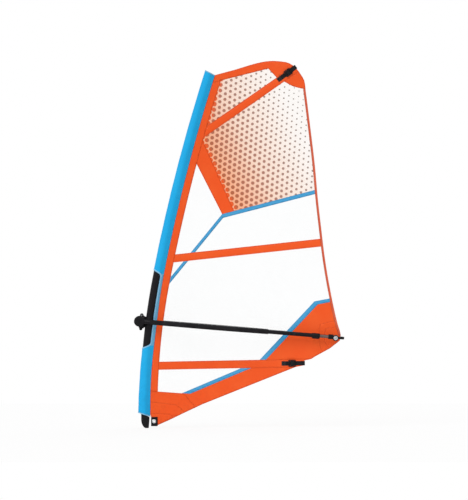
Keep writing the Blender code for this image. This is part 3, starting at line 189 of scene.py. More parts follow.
def objectPlace(tree):
    return addNode(tree, "TexCoord").outputs["Object"]


def seamPlace(tree):
    return addNode(tree, "UVMap", uv_map="seam").outputs[0]


def parts(tree, vector):
    return list(addNode(tree, "SeparateXYZ", {0: vector}).outputs)


def spread(tree, value, low, high, toLow=0.0, toHigh=1.0):
    inputs = {"Value": value, "From Min": low, "From Max": high, "To Min": toLow, "To Max": toHigh}
    return addNode(tree, "MapRange", inputs).outputs["Result"]


def gapOf(tree, a, b):
    return calc(tree, "ABSOLUTE", calc(tree, "SUBTRACT", a, b))


def addUp(tree, *terms):
    # weighted sum
    total = None
    for value, weight in terms:
        if total is None:
            total = calc(tree, "MULTIPLY", value, weight)
        else:
            total = calc(tree, "MULTIPLY_ADD", value, weight, total)
    return total


def mixColour(tree, share, first, second):
    # each colour is a socket, or three numbers from 0 to 255
    first, second = (colourOf(*c) if isinstance(c, tuple) else c for c in (first, second))
    return addNode(tree, "Mix", {0: share, 6: first, 7: second}, data_type="RGBA").outputs[2]


def mottle(tree, place, scale, detail=3.0, stretch=None):
    if stretch:
        place = addNode(tree, "Mapping", {"Vector": place, "Scale": stretch}).outputs[0]
    inputs = {"Vector": place, "Scale": scale, "Detail": detail}
    return addNode(tree, "TexNoise", inputs).outputs["Fac"]


def ripple(tree, value, pitch):
    return calc(tree, "SINE", calc(tree, "MULTIPLY", value, 2 * math.pi / pitch))


def plainWeave(tree, across, along, pitch):
    crossed = calc(tree, "MULTIPLY", ripple(tree, across, 2 * pitch), ripple(tree, along, 2 * pitch))
    return calc(tree, "MULTIPLY_ADD", crossed, 0.5, 0.5)


# each soiled colour is both the dirt down by the foot and the painted shade between the weave's threads
clothLooks = {
    "sail_orange": {
        "colour": (243, 87, 26), "worn": (248, 104, 42), "soiledAndShaded": (214, 76, 26),
        "thread": (176, 54, 18), "roughness": 0.50, "weave": 0.45 * mm,
    },
    "stripe_blue": {
        "colour": (66, 160, 212), "worn": (92, 176, 222), "soiledAndShaded": (54, 138, 190),
        "thread": (34, 96, 148), "roughness": 0.42, "weave": 0.45 * mm,
    },
    "sleeve_blue": {
        "colour": (20, 172, 232), "worn": (44, 184, 238), "soiledAndShaded": (22, 146, 200),
        "thread": (14, 104, 160), "roughness": 0.60, "weave": 0.7 * mm,
    },
    # the leech tape is a duller orange cloth, painted darker as well for the shade along the sail's
    # rear edge
    "leechTape": {
        "colour": (214, 92, 62), "worn": (228, 122, 92), "soiledAndShaded": (186, 74, 48),
        "thread": (132, 46, 28), "roughness": 0.55, "weave": 0.9 * mm,
    },
}
wearAndShadeValues = {
    "patches": 9.0, "grain": 60.0, "bleached": (0.45, 0.75, 0.0, 0.45),
    "footDirt": (0.32, 0.02), "spots": (0.48, 0.70, 0.0, 0.5), "shadeBetweenThreads": 0.16,
    "cutEdge": (0.5 * mm, 1.1 * mm, 0.45, 0.0), "roughness": (-0.06, 0.1), "bump": (0.35 * mm, 0.8),
    "sheen": 0.03,
}
facingValues = {
    "low": 0.452, "high": 0.846, "width": 26 * mm, "soft": 1 * mm, "colour": (100, 172, 210),
}
stitchValues = {"middle": 3.4 * mm, "pitch": 6 * mm, "swing": 1.4 * mm, "thread": 0.75 * mm}


def zigzag(tree, along, rim):
    # a row of zigzag stitches that runs beside the edge
    s = stitchValues
    turn = calc(tree, "PINGPONG", along, s["pitch"] / 2)
    path = calc(tree, "MULTIPLY_ADD", turn, 4 * s["swing"] / s["pitch"], s["middle"] - s["swing"])
    return spread(tree, gapOf(tree, rim, path), 0.35 * s["thread"], 0.65 * s["thread"], 1.0, 0.0)


def faceSleeve(tree, colour, z, rim):
    # the strip behind the boom cut-out is faced with paler cloth
    f = facingValues
    half = (f["high"] - f["low"]) / 2
    faced = spread(tree, gapOf(tree, z, f["low"] + half), half - f["soft"], half, 1.0, 0.0)
    beside = spread(tree, rim, f["width"] - f["soft"], f["width"], 1.0, 0.0)
    return mixColour(tree, calc(tree, "MULTIPLY", faced, beside), colour, f["colour"])


def clothLook(slot):
    v, w = clothLooks[slot], wearAndShadeValues
    name = slot.replace("_", "") + "Cloth"
    material, tree, shader = newLook(name, v["colour"], v["roughness"])
    place = objectPlace(tree)
    x, y, z = parts(tree, place)
    along, rim, none = parts(tree, seamPlace(tree))
    weave = plainWeave(tree, x, z, v["weave"])
    cloudy = mottle(tree, place, w["patches"])
    fine = mottle(tree, place, w["grain"], 4.0)
    # slightly bleached in patches, and a little soiled down by the foot
    colour = mixColour(tree, spread(tree, cloudy, *w["bleached"]), v["colour"], v["worn"])
    dirt = calc(tree, "MULTIPLY", spread(tree, z, *w["footDirt"]), spread(tree, fine, *w["spots"]))
    colour = mixColour(tree, dirt, colour, v["soiledAndShaded"])
    # painted shade: the cloth is darkened in the hollows between the weave's threads
    shade = spread(tree, weave, 0.0, 1.0, w["shadeBetweenThreads"], 0.0)
    colour = mixColour(tree, shade, colour, v["soiledAndShaded"])
    if slot == "sleeve_blue":
        colour = faceSleeve(tree, colour, z, rim)
    stitches = zigzag(tree, along, rim)
    colour = mixColour(tree, stitches, colour, v["thread"])
    # the very edge is hot-cut and a shade darker
    edge = spread(tree, calc(tree, "ABSOLUTE", rim), *w["cutEdge"])
    colour = mixColour(tree, edge, colour, v["thread"])
    smoother, rougher = (v["roughness"] + change for change in w["roughness"])
    rough = spread(tree, cloudy, 0.3, 0.7, smoother, rougher)
    putOn(tree, shader, colour=colour, rough=rough)
    height = addUp(tree, (weave, 0.25), (stitches, 1.0), (fine, 0.35))
    giveBump(tree, shader, height, *w["bump"])
    shader.inputs["Sheen Weight"].default_value = w["sheen"]
    return material


filmValues = {
    "colour": (246, 249, 250), "seen": 0.09, "roughness": 0.07, "gloss": 0.5,
    "scratched": (0.62, 0.72), "smudged": (0.42, 0.66), "glued": (0.0, 7 * mm, 0.10, 0.0),
    "scratches": (40.0, 5.0, (1.0, 1.0, 14.0)), "smudges": 3.0, "waves": (5.0, 2.0),
    "bump": (1.2 * mm, 0.5),
}


def clearFilmLook():
    v = filmValues
    material, tree, shader = newLook("clearMonofilm", v["colour"], v["roughness"], gloss=v["gloss"])
    place = objectPlace(tree)
    along, rim, none = parts(tree, seamPlace(tree))
    marks = spread(tree, mottle(tree, place, *v["scratches"]), *v["scratched"])
    smudge = spread(tree, mottle(tree, place, v["smudges"]), *v["smudged"])
    rough = calc(tree, "ADD", addUp(tree, (marks, 0.22), (smudge, 0.10)), v["roughness"])
    glued = spread(tree, calc(tree, "ABSOLUTE", rim), *v["glued"])
    seen = addUp(tree, (marks, 0.05), (smudge, 0.03), (glued, 1.0))
    putOn(tree, shader, rough=rough, seen=calc(tree, "ADD", seen, v["seen"]))
    wavy = mottle(tree, place, *v["waves"])
    giveBump(tree, shader, addUp(tree, (wavy, 1.0), (marks, 0.03)), *v["bump"])
    return material


dotValues = {
    "column": 26.8 * mm, "row": 30.8 * mm, "tilt": math.radians(4.4), "start": (0.3590, 1.5937),
    "gradientFrom": (0.33, 1.42), "gradientTo": (0.93, 1.72),
    "radius": (10.7 * mm, 2.7 * mm, 1.5), "rim": 0.4 * mm, "dot": ((186, 90, 40), (164, 164, 160)),
    "ground": ((255, 166, 112), (255, 216, 188), (253, 243, 234)),
    "groundSteps": ((0.0, 0.38), (0.30, 0.85)),
    "borders": [((0.3080, 1.5773), (0.4749, 1.2023)), ((0.4008, 1.9067), (0.3080, 1.5773))],
    "borderReach": (4 * mm, 26 * mm), "borderGrowth": 3.4 * mm,
    "borderDot": (243, 92, 30), "borderWeb": (255, 190, 146),
    "inked": (0.0, 0.85, 0.92, 0.20), "dotInk": 0.97, "roughness": 0.16, "markRoughness": (0.2, 0.15),
    "gloss": 0.3, "scratches": (40.0, 5.0, (1.0, 1.0, 12.0)),
}


def nearestDot(tree, x, z):
    # how far off the middle of the nearest dot is, in two sets of rows half a step apart
    v = dotValues
    px = calc(tree, "SUBTRACT", x, v["start"][0])
    pz = calc(tree, "SUBTRACT", z, v["start"][1])
    cos, sin = math.cos(v["tilt"]), math.sin(v["tilt"])
    across = addUp(tree, (px, cos), (pz, -sin))
    along = addUp(tree, (px, sin), (pz, cos))
    found = []
    for shift in (0.0, 0.5):
        a = calc(tree, "MULTIPLY_ADD", across, 1 / (2 * v["column"]), 0.5 + shift)
        b = calc(tree, "MULTIPLY_ADD", along, 1 / v["row"], 0.5 + shift)
        a = calc(tree, "MULTIPLY_ADD", calc(tree, "FRACT", a), 2 * v["column"], -v["column"])
        b = calc(tree, "MULTIPLY_ADD", calc(tree, "FRACT", b), v["row"], -v["row"] / 2)
        squared = calc(tree, "MULTIPLY_ADD", a, a, calc(tree, "MULTIPLY", b, b))
        found.append(calc(tree, "SQRT", squared))
    return calc(tree, "MINIMUM", *found)


def dottedBorder(tree, x, z):
    # 1 along the solid orange and 0 away from it
    found = []
    for first, last in dotValues["borders"]:
        first, last = Vector(first), Vector(last)
        way = (last - first).normalized()
        side = Vector((-way.y, way.x))
        found.append(gapOf(tree, addUp(tree, (x, side.x), (z, side.y)), first.dot(side)))
    return spread(tree, calc(tree, "MINIMUM", *found), *dotValues["borderReach"], 1.0, 0.0)


def dottedFilmLook():
    v = dotValues
    material, tree, shader = newLook("dottedMonofilm", v["ground"][1], v["roughness"], gloss=v["gloss"])
    place = objectPlace(tree)
    x, y, z = parts(tree, place)
    way = Vector(v["gradientTo"]) - Vector(v["gradientFrom"])
    fromX = calc(tree, "SUBTRACT", x, v["gradientFrom"][0])
    fromZ = calc(tree, "SUBTRACT", z, v["gradientFrom"][1])
    share = addUp(tree, (fromX, way.x / way.length_squared), (fromZ, way.y / way.length_squared))
    share = addNode(tree, "Clamp", {0: share}).outputs[0]
    # towards the solid orange the dots grow, turn orange and leave a pale web
    border = dottedBorder(tree, x, z)
    large, small, power = v["radius"]
    radius = calc(tree, "MULTIPLY_ADD", calc(tree, "POWER", share, power), small - large, large)
    radius = calc(tree, "ADD", radius, calc(tree, "MULTIPLY", border, v["borderGrowth"]))
    inside = calc(tree, "SUBTRACT", radius, nearestDot(tree, x, z))
    dot = spread(tree, inside, -v["rim"], v["rim"])
    ground = v["ground"][0]
    for step, paler in zip(v["groundSteps"], v["ground"][1:]):
        ground = mixColour(tree, spread(tree, share, *step), ground, paler)
    ground = mixColour(tree, border, ground, v["borderWeb"])
    dotColour = mixColour(tree, share, *v["dot"])
    dotColour = mixColour(tree, border, dotColour, v["borderDot"])
    inked = spread(tree, share, *v["inked"])
    inked = calc(tree, "MAXIMUM", inked, calc(tree, "MULTIPLY", dot, v["dotInk"]))
    marks = spread(tree, mottle(tree, place, *v["scratches"]), *filmValues["scratched"])
    rough = calc(tree, "MULTIPLY_ADD", marks, *v["markRoughness"])
    putOn(tree, shader, colour=mixColour(tree, dot, ground, dotColour), rough=rough, seen=inked)
    wavy = mottle(tree, place, *filmValues["waves"])
    giveBump(tree, shader, addUp(tree, (wavy, 1.0), (dot, 0.02)), *filmValues["bump"])
    return material


tapeValues = {
    "plain": (140, 200, 232), "patches": ((132, 194, 230), (152, 208, 238)), "ribHollowShade": (88, 152, 194),
    "thread": (52, 112, 160), "ribPitch": 1.1 * mm, "roughness": 0.6, "bump": 0.25 * mm,
    "stitchAt": 1.4 * mm, "stitchHalf": (0.25 * mm, 0.45 * mm),
    "stitch": 2.0 * mm, "stitchEnd": (1.3 * mm, 1.5 * mm), "clouds": 22.0,
}


def tapeLook():
    # grosgrain tape: ribs across its width and a row of straight stitches
    v = tapeValues
    material, tree, shader = newLook("edgeTape", v["plain"], v["roughness"])
    along, rim, none = parts(tree, seamPlace(tree))
    ribs = calc(tree, "MULTIPLY_ADD", ripple(tree, along, v["ribPitch"]), 0.5, 0.5)
    cloudy = mottle(tree, objectPlace(tree), v["clouds"])
    colour = mixColour(tree, spread(tree, cloudy, 0.4, 0.7), *v["patches"])
    # painted shade: the tape is darker in the hollows between its ribs
    colour = mixColour(tree, spread(tree, ribs, 0.0, 0.5, 0.25, 0.0), colour, v["ribHollowShade"])
    gap = spread(tree, calc(tree, "PINGPONG", along, v["stitch"]), *v["stitchEnd"], 1.0, 0.0)
    off = gapOf(tree, rim, v["stitchAt"])
    row = calc(tree, "MULTIPLY", spread(tree, off, *v["stitchHalf"], 1.0, 0.0), gap)
    putOn(tree, shader, colour=mixColour(tree, row, colour, v["thread"]))
    giveBump(tree, shader, addUp(tree, (ribs, 0.5), (row, 1.0)), v["bump"])
    return material


webbingValues = {
    "plain": (26, 25, 28), "weave": ((14, 13, 16), (34, 33, 37)), "fuzz": (58, 56, 60),
    "thread": (74, 72, 78), "pitch": 1.1 * mm, "roughness": 0.85, "bump": 0.5 * mm, "sheen": 0.06,
    "boxHalf": 9 * mm, "boxAt": 12 * mm, "boxLine": (0.04, 0.08), "crossLine": (0.05, 0.10),
    "fibres": (260.0, 4.0), "fuzzed": (0.5, 0.8, 0.0, 0.4),
}


def webbingLook():
    v = webbingValues
    material, tree, shader = newLook("blackWebbing", v["plain"], v["roughness"])
    along, across, none = parts(tree, seamPlace(tree))
    ribs = plainWeave(tree, along, across, v["pitch"])
    fuzz = mottle(tree, objectPlace(tree), *v["fibres"])
    # painted shade and highlight: the weave is darker in its hollows and lighter on its raised threads
    colour = mixColour(tree, ribs, *v["weave"])
    colour = mixColour(tree, spread(tree, fuzz, *v["fuzzed"]), colour, v["fuzz"])
    # a stitched box with a cross in it, where the webbing is sewn down
    scale = 1 / v["boxHalf"]
    a = calc(tree, "ABSOLUTE", calc(tree, "MULTIPLY_ADD", along, scale, -v["boxAt"] * scale))
    b = calc(tree, "ABSOLUTE", calc(tree, "MULTIPLY", across, scale))
    outer = calc(tree, "MAXIMUM", a, b)
    border = spread(tree, gapOf(tree, outer, 1.0), *v["boxLine"], 1.0, 0.0)
    cross = spread(tree, gapOf(tree, a, b), *v["crossLine"], 1.0, 0.0)
    cross = calc(tree, "MULTIPLY", cross, calc(tree, "LESS_THAN", outer, 1.0))
    stitches = calc(tree, "MAXIMUM", border, cross)
    putOn(tree, shader, colour=mixColour(tree, stitches, colour, v["thread"]))
    height = addUp(tree, (ribs, 1.0), (fuzz, 0.3), (stitches, 1.0))
    giveBump(tree, shader, height, v["bump"])
    shader.inputs["Sheen Weight"].default_value = v["sheen"]
    return material


hardValues = {
    "moulded_black": ("mouldedNylon", (13, 12, 15), (24, 22, 26), 0.5, 1500.0, 0.15),
    "rubber_black": ("softRubber", (24, 23, 25), (36, 35, 38), 0.8, 700.0, 0.2),
    "batten_white": ("glassFibreBatten", (224, 224, 218), (236, 236, 232), 0.4, 300.0, 0.2),
    "scuffLighter": 22, "scuffed": (0.60, 0.72), "clouded": (0.4, 0.7, 0.0, 0.6),
    "clouds": 30.0, "scuffs": (75.0, 6.0, (1.0, 1.0, 5.0)), "bump": (0.12 * mm, 0.7),
}


def hardLook(slot):
    # moulded or wound parts: fine grain, soft mottling and light scuffs
    v = hardValues
    name, colour, lighter, roughness, grain, gloss = v[slot]
    material, tree, shader = newLook(name, colour, roughness, gloss=gloss)
    place = objectPlace(tree)
    fine = mottle(tree, place, grain, 4.0)
    cloudy = mottle(tree, place, v["clouds"])
    scuffs = spread(tree, mottle(tree, place, *v["scuffs"]), *v["scuffed"])
    mixed = mixColour(tree, spread(tree, cloudy, *v["clouded"]), colour, lighter)
    scuffColour = tuple(c + v["scuffLighter"] for c in lighter)
    mixed = mixColour(tree, calc(tree, "MULTIPLY", scuffs, 0.5), mixed, scuffColour)
    rough = addUp(tree, (cloudy, 0.16), (scuffs, 0.14))
    putOn(tree, shader, colour=mixed, rough=calc(tree, "ADD", rough, roughness - 0.08))
    giveBump(tree, shader, addUp(tree, (fine, 1.0), (scuffs, -0.4)), *v["bump"])
    return material


compositeValues = {
    "plain": (16, 14, 18), "bands": ((11, 9, 13), (22, 19, 24)), "scuff": (70, 68, 72),
    "bandPitch": 13 * mm, "steepness": 0.45, "lead": 1.2, "roughness": (0.42, 0.36), "gloss": 0.12,
    "scuffed": (0.62, 0.72), "coat": (0.05, 0.3), "bump": (0.1 * mm, 0.6),
    "grain": (420.0, 4.0), "scuffs": (60.0, 6.0, (1.0, 1.0, 0.2)),
}


def compositeLook():
    # wound tube: bands of fibre at a steep angle under a thin satin coat
    v = compositeValues
    plainRough, woundRough = v["roughness"]
    material, tree, shader = newLook("blackComposite", v["plain"], plainRough, gloss=v["gloss"])
    place = objectPlace(tree)
    x, y, z = parts(tree, place)
    bands = []
    for way in (1.0, -1.0):
        slope = addUp(tree, (x, way), (z, v["steepness"]), (y, v["lead"]))
        bands.append((ripple(tree, slope, v["bandPitch"]), 0.25))
    bands = calc(tree, "ADD", addUp(tree, *bands), 0.5)
    fine = mottle(tree, place, *v["grain"])
    scuffs = spread(tree, mottle(tree, place, *v["scuffs"]), *v["scuffed"])
    colour = mixColour(tree, bands, *v["bands"])
    colour = mixColour(tree, calc(tree, "MULTIPLY", scuffs, 0.35), colour, v["scuff"])
    rough = addUp(tree, (bands, 0.08), (scuffs, 0.2))
    putOn(tree, shader, colour=colour, rough=calc(tree, "ADD", rough, woundRough))
    giveBump(tree, shader, addUp(tree, (bands, 0.4), (fine, 0.5)), *v["bump"])
    for key, value in zip(("Coat Weight", "Coat Roughness"), v["coat"]):
        shader.inputs[key].default_value = value
    return material


foamValues = {
    "plain": (28, 27, 30), "worn": ((26, 25, 28), (44, 43, 46)), "pressed": (16, 15, 18),
    "pitch": 5 * mm, "line": (0.72, 0.95), "roughness": 0.88, "bump": 0.6 * mm,
    "cells": 900.0, "patches": 14.0, "patched": (0.42, 0.68),
}


def foamLook():
    # closed-cell foam with a pressed diamond pattern
    v = foamValues
    material, tree, shader = newLook("blackFoam", v["plain"], v["roughness"])
    along, around, none = parts(tree, seamPlace(tree))
    first = ripple(tree, calc(tree, "ADD", along, around), v["pitch"])
    second = ripple(tree, calc(tree, "SUBTRACT", along, around), v["pitch"])
    pressed = spread(tree, calc(tree, "MAXIMUM", first, second), *v["line"])
    place = objectPlace(tree)
    cells = mottle(tree, place, v["cells"])
    patches = spread(tree, mottle(tree, place, v["patches"]), *v["patched"])
    colour = mixColour(tree, patches, *v["worn"])
    # painted shade: the pressed lines of the diamond pattern are darker
    putOn(tree, shader, colour=mixColour(tree, pressed, colour, v["pressed"]))
    giveBump(tree, shader, addUp(tree, (pressed, -1.0), (cells, 0.35)), v["bump"])
    return material


metalValues = {
    "bare_aluminium": ("anodisedAluminium", (122, 104, 100), 0.40, (0.06, 1.0, 1.0)),
    "steel": ("stainlessSteel", (214, 215, 218), 0.26, (1.0, 0.2, 1.0)),
    "darker": 0.82, "brush": (60.0, 6.0), "dullness": 25.0, "bump": (0.05 * mm, 0.5),
}


def metalLook(slot):
    v = metalValues
    name, colour, roughness, stretch = v[slot]
    material, tree, shader = newLook(name, colour, roughness, metallic=1.0)
    place = objectPlace(tree)
    brushed = mottle(tree, place, *v["brush"], stretch)
    dull = mottle(tree, place, v["dullness"])
    darker = tuple(c * v["darker"] for c in colour)
    mixed = mixColour(tree, spread(tree, brushed, 0.3, 0.7), darker, colour)
    rough = addUp(tree, (brushed, 0.12), (dull, 0.14))
    putOn(tree, shader, colour=mixed, rough=calc(tree, "ADD", rough, roughness - 0.1))
    giveBump(tree, shader, brushed, *v["bump"])
    return material


slotLooks = {slot: clothLook(slot) for slot in ("sail_orange", "stripe_blue", "sleeve_blue")}
slotLooks.update({
    "binding_blue": tapeLook(),
    "clear_film": clearFilmLook(),
    "dotted_film": dottedFilmLook(),
    "carbon_black": compositeLook(),
    "moulded_black": hardLook("moulded_black"),
    "webbing_black": webbingLook(),
    "rubber_black": hardLook("rubber_black"),
    "foam_black": foamLook(),
    "batten_white": hardLook("batten_white"),
    "bare_aluminium": metalLook("bare_aluminium"),
    "steel": metalLook("steel"),
})
tapeCloth = clothLook("leechTape")

# nodes whose shape is right keep it and get their finish
for obj in nodes.values():
    slot = obj.data.materials[0].name
    obj.material_slots[0].link = "OBJECT"
    obj.material_slots[0].material = slotLooks[slot]
print("looks made:", len(slotLooks) + 1)


# Cloth: the sail's flat plan, its draft and the small wrinkles of a rigged sail
sailValues = {
    "mastX": -0.0164, "bendStart": 0.100, "lowerBend": 3.8, "upperBend": 10.0,
    "bendChange": math.radians(11), "sleeveRear": 0.0355, "sleeveBulge": (0.0055, 0.55, 0.18),
    "draft": 0.022, "draftChord": 1.210, "chord": 1.13, "chordTaper": 0.372, "cell": 0.012,
    "fittings": [(1.036, 0.4947), (0.0392, 0.0368), (0.776, 1.952), (0.800, 0.355)],
    "battens": [
        ((0.3127, 1.6200), (0.7277, 1.9090)),
        ((0.1504, 0.9308), (0.9629, 1.0184)),
        ((0.0697, 0.3415), (0.6242, 0.3519)),
    ],
    "luffPucker": 0.8 * mm, "puckerReach": 0.08, "puckerTurn": 71,
    "cornerPull": 0.6 * mm, "pulls": [(0, 13, 0.20), (1, 11, 0.16)],
    "leechFlutter": 1.6 * mm, "flutterFrom": 0.72, "clothNoise": 0.5 * mm,
    "calmReach": 0.05, "battenCalm": 0.75, "luffCalm": 0.03,
}


def mastLine(z):
    v = sailValues
    bendEnd = v["bendStart"] + v["lowerBend"] * math.sin(v["bendChange"])
    if z <= v["bendStart"]:
        return v["mastX"], 0.0
    if z <= bendEnd:
        lean = math.asin((z - v["bendStart"]) / v["lowerBend"])
        return v["mastX"] + v["lowerBend"] * (1 - math.cos(lean)), lean
    lean = math.asin((z - bendEnd) / v["upperBend"] + math.sin(v["bendChange"]))
    start = v["mastX"] + v["lowerBend"] * (1 - math.cos(v["bendChange"]))
    return start + v["upperBend"] * (math.cos(v["bendChange"]) - math.cos(lean)), lean


def byMast(z, aft, side=0.0):
    x, lean = mastLine(z)
    return Vector((x + aft * math.cos(lean), side, z - aft * math.sin(lean)))


def draftAt(x, z):
    # deepest a third of the way back
    v = sailValues
    share = (x - mastLine(z)[0] - v["sleeveRear"]) / (v["draftChord"] - v["chordTaper"] * z)
    depth = v["draft"] * (1 - 0.5 * (z / 2) ** 2)
    return depth * 27 / 4 * share * (1 - share) ** 2 if share > 0 else 0.0


def distanceTo(point, start, end):
    way = end - start
    share = min(1.0, max(0.0, (point - start).dot(way) / way.length_squared))
    return (point - start - way * share).length


def wrinkleAt(x, z):
    v = sailValues
    here = Vector((x, z))
    aft = x - mastLine(z)[0] - v["sleeveRear"]
    if aft <= 0:
        return 0.0
    fold = math.sin(z * v["puckerTurn"] + 1.4 * math.sin(z * 6))
    pucker = v["luffPucker"] * math.exp(-aft / v["puckerReach"]) * fold
    pull = 0.0
    for number, folds, reach in v["pulls"]:
        way = here - Vector(v["fittings"][number])
        fold = math.sin(folds * math.atan2(way.y, way.x) + 0.6)
        pull += v["cornerPull"] * math.exp(-way.length / reach) * fold
    share = min(1.0, aft / (v["chord"] - v["chordTaper"] * z))
    loose = max(0.0, share - v["flutterFrom"]) / (1 - v["flutterFrom"])
    flutter = v["leechFlutter"] * loose * math.sin(z * 7.3 + 0.8)
    uneven = v["clothNoise"] * noise.noise(Vector((x * 6, z * 6, 0.3)))
    calm = 1.0
    for spot in v["fittings"]:
        calm *= 1 - math.exp(-((here - Vector(spot)).length / v["calmReach"]) ** 2)
    for start, end in v["battens"]:
        off = distanceTo(here, Vector(start), Vector(end)) / v["calmReach"]
        calm *= 1 - v["battenCalm"] * math.exp(-(off**2))
    return (pucker + pull + flutter + uneven) * calm * min(1.0, aft / v["luffCalm"])


def sailY(x, z):
    return draftAt(x, z) + wrinkleAt(x, z)


# How the pieces of cloth lie on each other: rank 0 is the film at the back
clothRank = {
    "upper_dotted_panel": 0, "lower_dotted_panel": 0, "luff_window": 0, "mid_window": 0,
    "small_window": 0, "main_window": 0, "lower_window": 0,
    "head_panel": 1, "head_corner": 1, "shoulder_panel": 1, "clew_panel": 1, "foot_panel": 1,
    "upper_stripe": 2, "stripe_tail": 2, "clew_stripe": 2, "foot_stripe": 2,
    "top_pocket": 3, "middle_pocket": 3, "lower_pocket": 3,
    "luff_band": 4, "leech_tape": 4, "luff_sleeve": 5,
}
layerValues = {
    "nearFace": [-0.10 * mm, -0.40 * mm, -0.72 * mm, -1.10 * mm, -1.15 * mm],
    "thickness": [0.20 * mm, 0.28 * mm, 0.28 * mm, 0.35 * mm, 0.35 * mm],
    "underlap": [6 * mm, 4 * mm, 4 * mm, 5 * mm, 4 * mm],
    "butted": 0.1 * mm, "probe": 3 * mm, "sample": 6 * mm,
    "straight": 0.98, "sharpTurn": 0.2, "longestCorner": 2.2,
}


def edgesOf(ring):
    return list(zip(ring, ring[1:] + ring[:1]))


def area2d(ring):
    return sum(a.x * b.y - a.y * b.x for a, b in edgesOf(ring)) / 2


def withoutFlatPoints(points, slack):
    kept = list(points)
    i = 0
    while i < len(kept) and len(kept) > 3:
        before, here, after = kept[i - 1], kept[i], kept[(i + 1) % len(kept)]
        if distanceTo(here, before, after) < slack:
            kept.pop(i)
            i = max(0, i - 1)
        else:
            i += 1
    return kept


def cadOutline(name):
    # the longest edge round the faces that look at the camera, as flat (x, z) points
    bm = bmesh.new()
    bm.from_mesh(nodes[name].data)
    bmesh.ops.remove_doubles(bm, verts=bm.verts[:], dist=1e-6)
    facing = [face for face in bm.faces if face.normal.y < -0.6]
    near = set(facing)
    follow = {}
    for face in facing:
        for loop in face.loops:
            others = [f for f in loop.edge.link_faces if f is not face]
            if not any(f in near for f in others):
                follow[loop.vert] = loop.link_loop_next.vert
    loops = []
    while follow:
        vert = next(iter(follow))
        points = []
        while vert in follow:
            points.append(Vector((vert.co.x, vert.co.z)))
            vert = follow.pop(vert)
        loops.append(points)
    bm.free()
    points = max(loops, key=lambda ring: abs(area2d(ring)))
    points = withoutFlatPoints(points, 0.02 * mm)
    return points if area2d(points) > 0 else points[::-1]


def insideOf(point, outline):
    inside = False
    for a, b in edgesOf(outline):
        if (a.y > point.y) != (b.y > point.y):
            if point.x < a.x + (b.x - a.x) * (point.y - a.y) / (b.y - a.y):
                inside = not inside
    return inside


def sleeveRear(z):
    rise, middle, reach = sailValues["sleeveBulge"]
    return sailValues["sleeveRear"] + rise * math.exp(-(((z - middle) / reach) ** 2))


plan = {name: cadOutline(name) for name in clothRank if name != "luff_sleeve"}
sleeveHeights = [0.0741 + 0.04 * i for i in range(48)]
plan["luff_sleeve"] = (
    [byMast(z, 0.0).xz for z in reversed(sleeveHeights)]
    + [byMast(z, sleeveRear(z) + 0.4 * mm).xz for z in sleeveHeights]
)
planBoxes = {}
for planName, planRing in plan.items():
    across, up = [p.x for p in planRing], [p.y for p in planRing]
    planBoxes[planName] = (min(across), max(across), min(up), max(up))


def highestAt(point, own):
    best = -1
    for name, (left, right, low, high) in planBoxes.items():
        if name != own and left <= point.x <= right and low <= point.y <= high:
            if clothRank[name] > best and insideOf(point, plan[name]):
                best = clothRank[name]
    return best


def outward(a, b):
    way = (b - a).normalized()
    return Vector((way.y, -way.x))


def cutOutline(name):
    # the panel's own outline, let out under each neighbour that lies over it
    v = layerValues
    rank = clothRank[name]
    points, letOut = [], []
    for a, b in edgesOf(plan[name]):
        count = max(1, round((b - a).length / v["sample"]))
        for i in range(count):
            first, last = a.lerp(b, i / count), a.lerp(b, (i + 1) / count)
            probe = first.lerp(last, 0.5) + outward(a, b) * v["probe"]
            points.append(first)
            covered = highestAt(probe, name) > rank
            letOut.append(v["underlap"][rank] if covered else v["butted"])
    moved, hidden = [], []
    count = len(points)
    for i, point in enumerate(points):
        before, after = outward(points[i - 1], point), outward(point, points[(i + 1) % count])
        first, second = letOut[i - 1], letOut[i]
        if before.dot(after) > v["straight"]:
            # on a straight edge, with a step where the underlap starts or ends
            steps = [min(first, second)]
            if abs(first - second) > mm:
                steps = [first, second]
            moved += [point + after * step for step in steps]
            hidden += [second > mm] * len(steps)
            continue
        cross = before.x * after.y - before.y * after.x
        corner = point + (before * first + after * second)
        if abs(cross) > v["sharpTurn"]:
            # where the two moved edges meet
            along = (second - first * before.dot(after)) / cross
            corner = point + before * first + Vector((-before.y, before.x)) * along
            limit = v["longestCorner"] * max(first, second)
            if (corner - point).length > limit:
                corner = point + (corner - point).normalized() * limit
        moved.append(corner)
        hidden.append(second > mm)
    return moved, hidden


def seamUv(bm, ring, hidden, reach=0.022):
    # U runs along the piece's edge and V away from it, both in metres; far from any edge,
    # and along an edge that a neighbour hides, V is out of the stitches' reach
    layer = bm.loops.layers.uv.new("seam")
    spans = edgesOf(ring)
    starts, total = [], 0.0
    for a, b in spans:
        starts.append(total)
        total += (b - a).length
    for face in bm.faces:
        middle = face.calc_center_median().xz
        best, chosen = reach, None
        for i, (a, b) in enumerate(spans):
            if min(a.x, b.x) - reach > middle.x or max(a.x, b.x) + reach < middle.x:
                continue
            distance = distanceTo(middle, a, b)
            if distance < best:
                best, chosen = distance, i
        for loop in face.loops:
            if chosen is None:
                loop[layer].uv = (0.0, 1.0)
                continue
            a, b = spans[chosen]
            way = (b - a).normalized()
            side = Vector((-way.y, way.x))
            here = loop.vert.co.xz - a
            lift = 1.0 if hidden[chosen] else 0.0
            loop[layer].uv = (starts[chosen] + here.dot(way), here.dot(side) + lift)


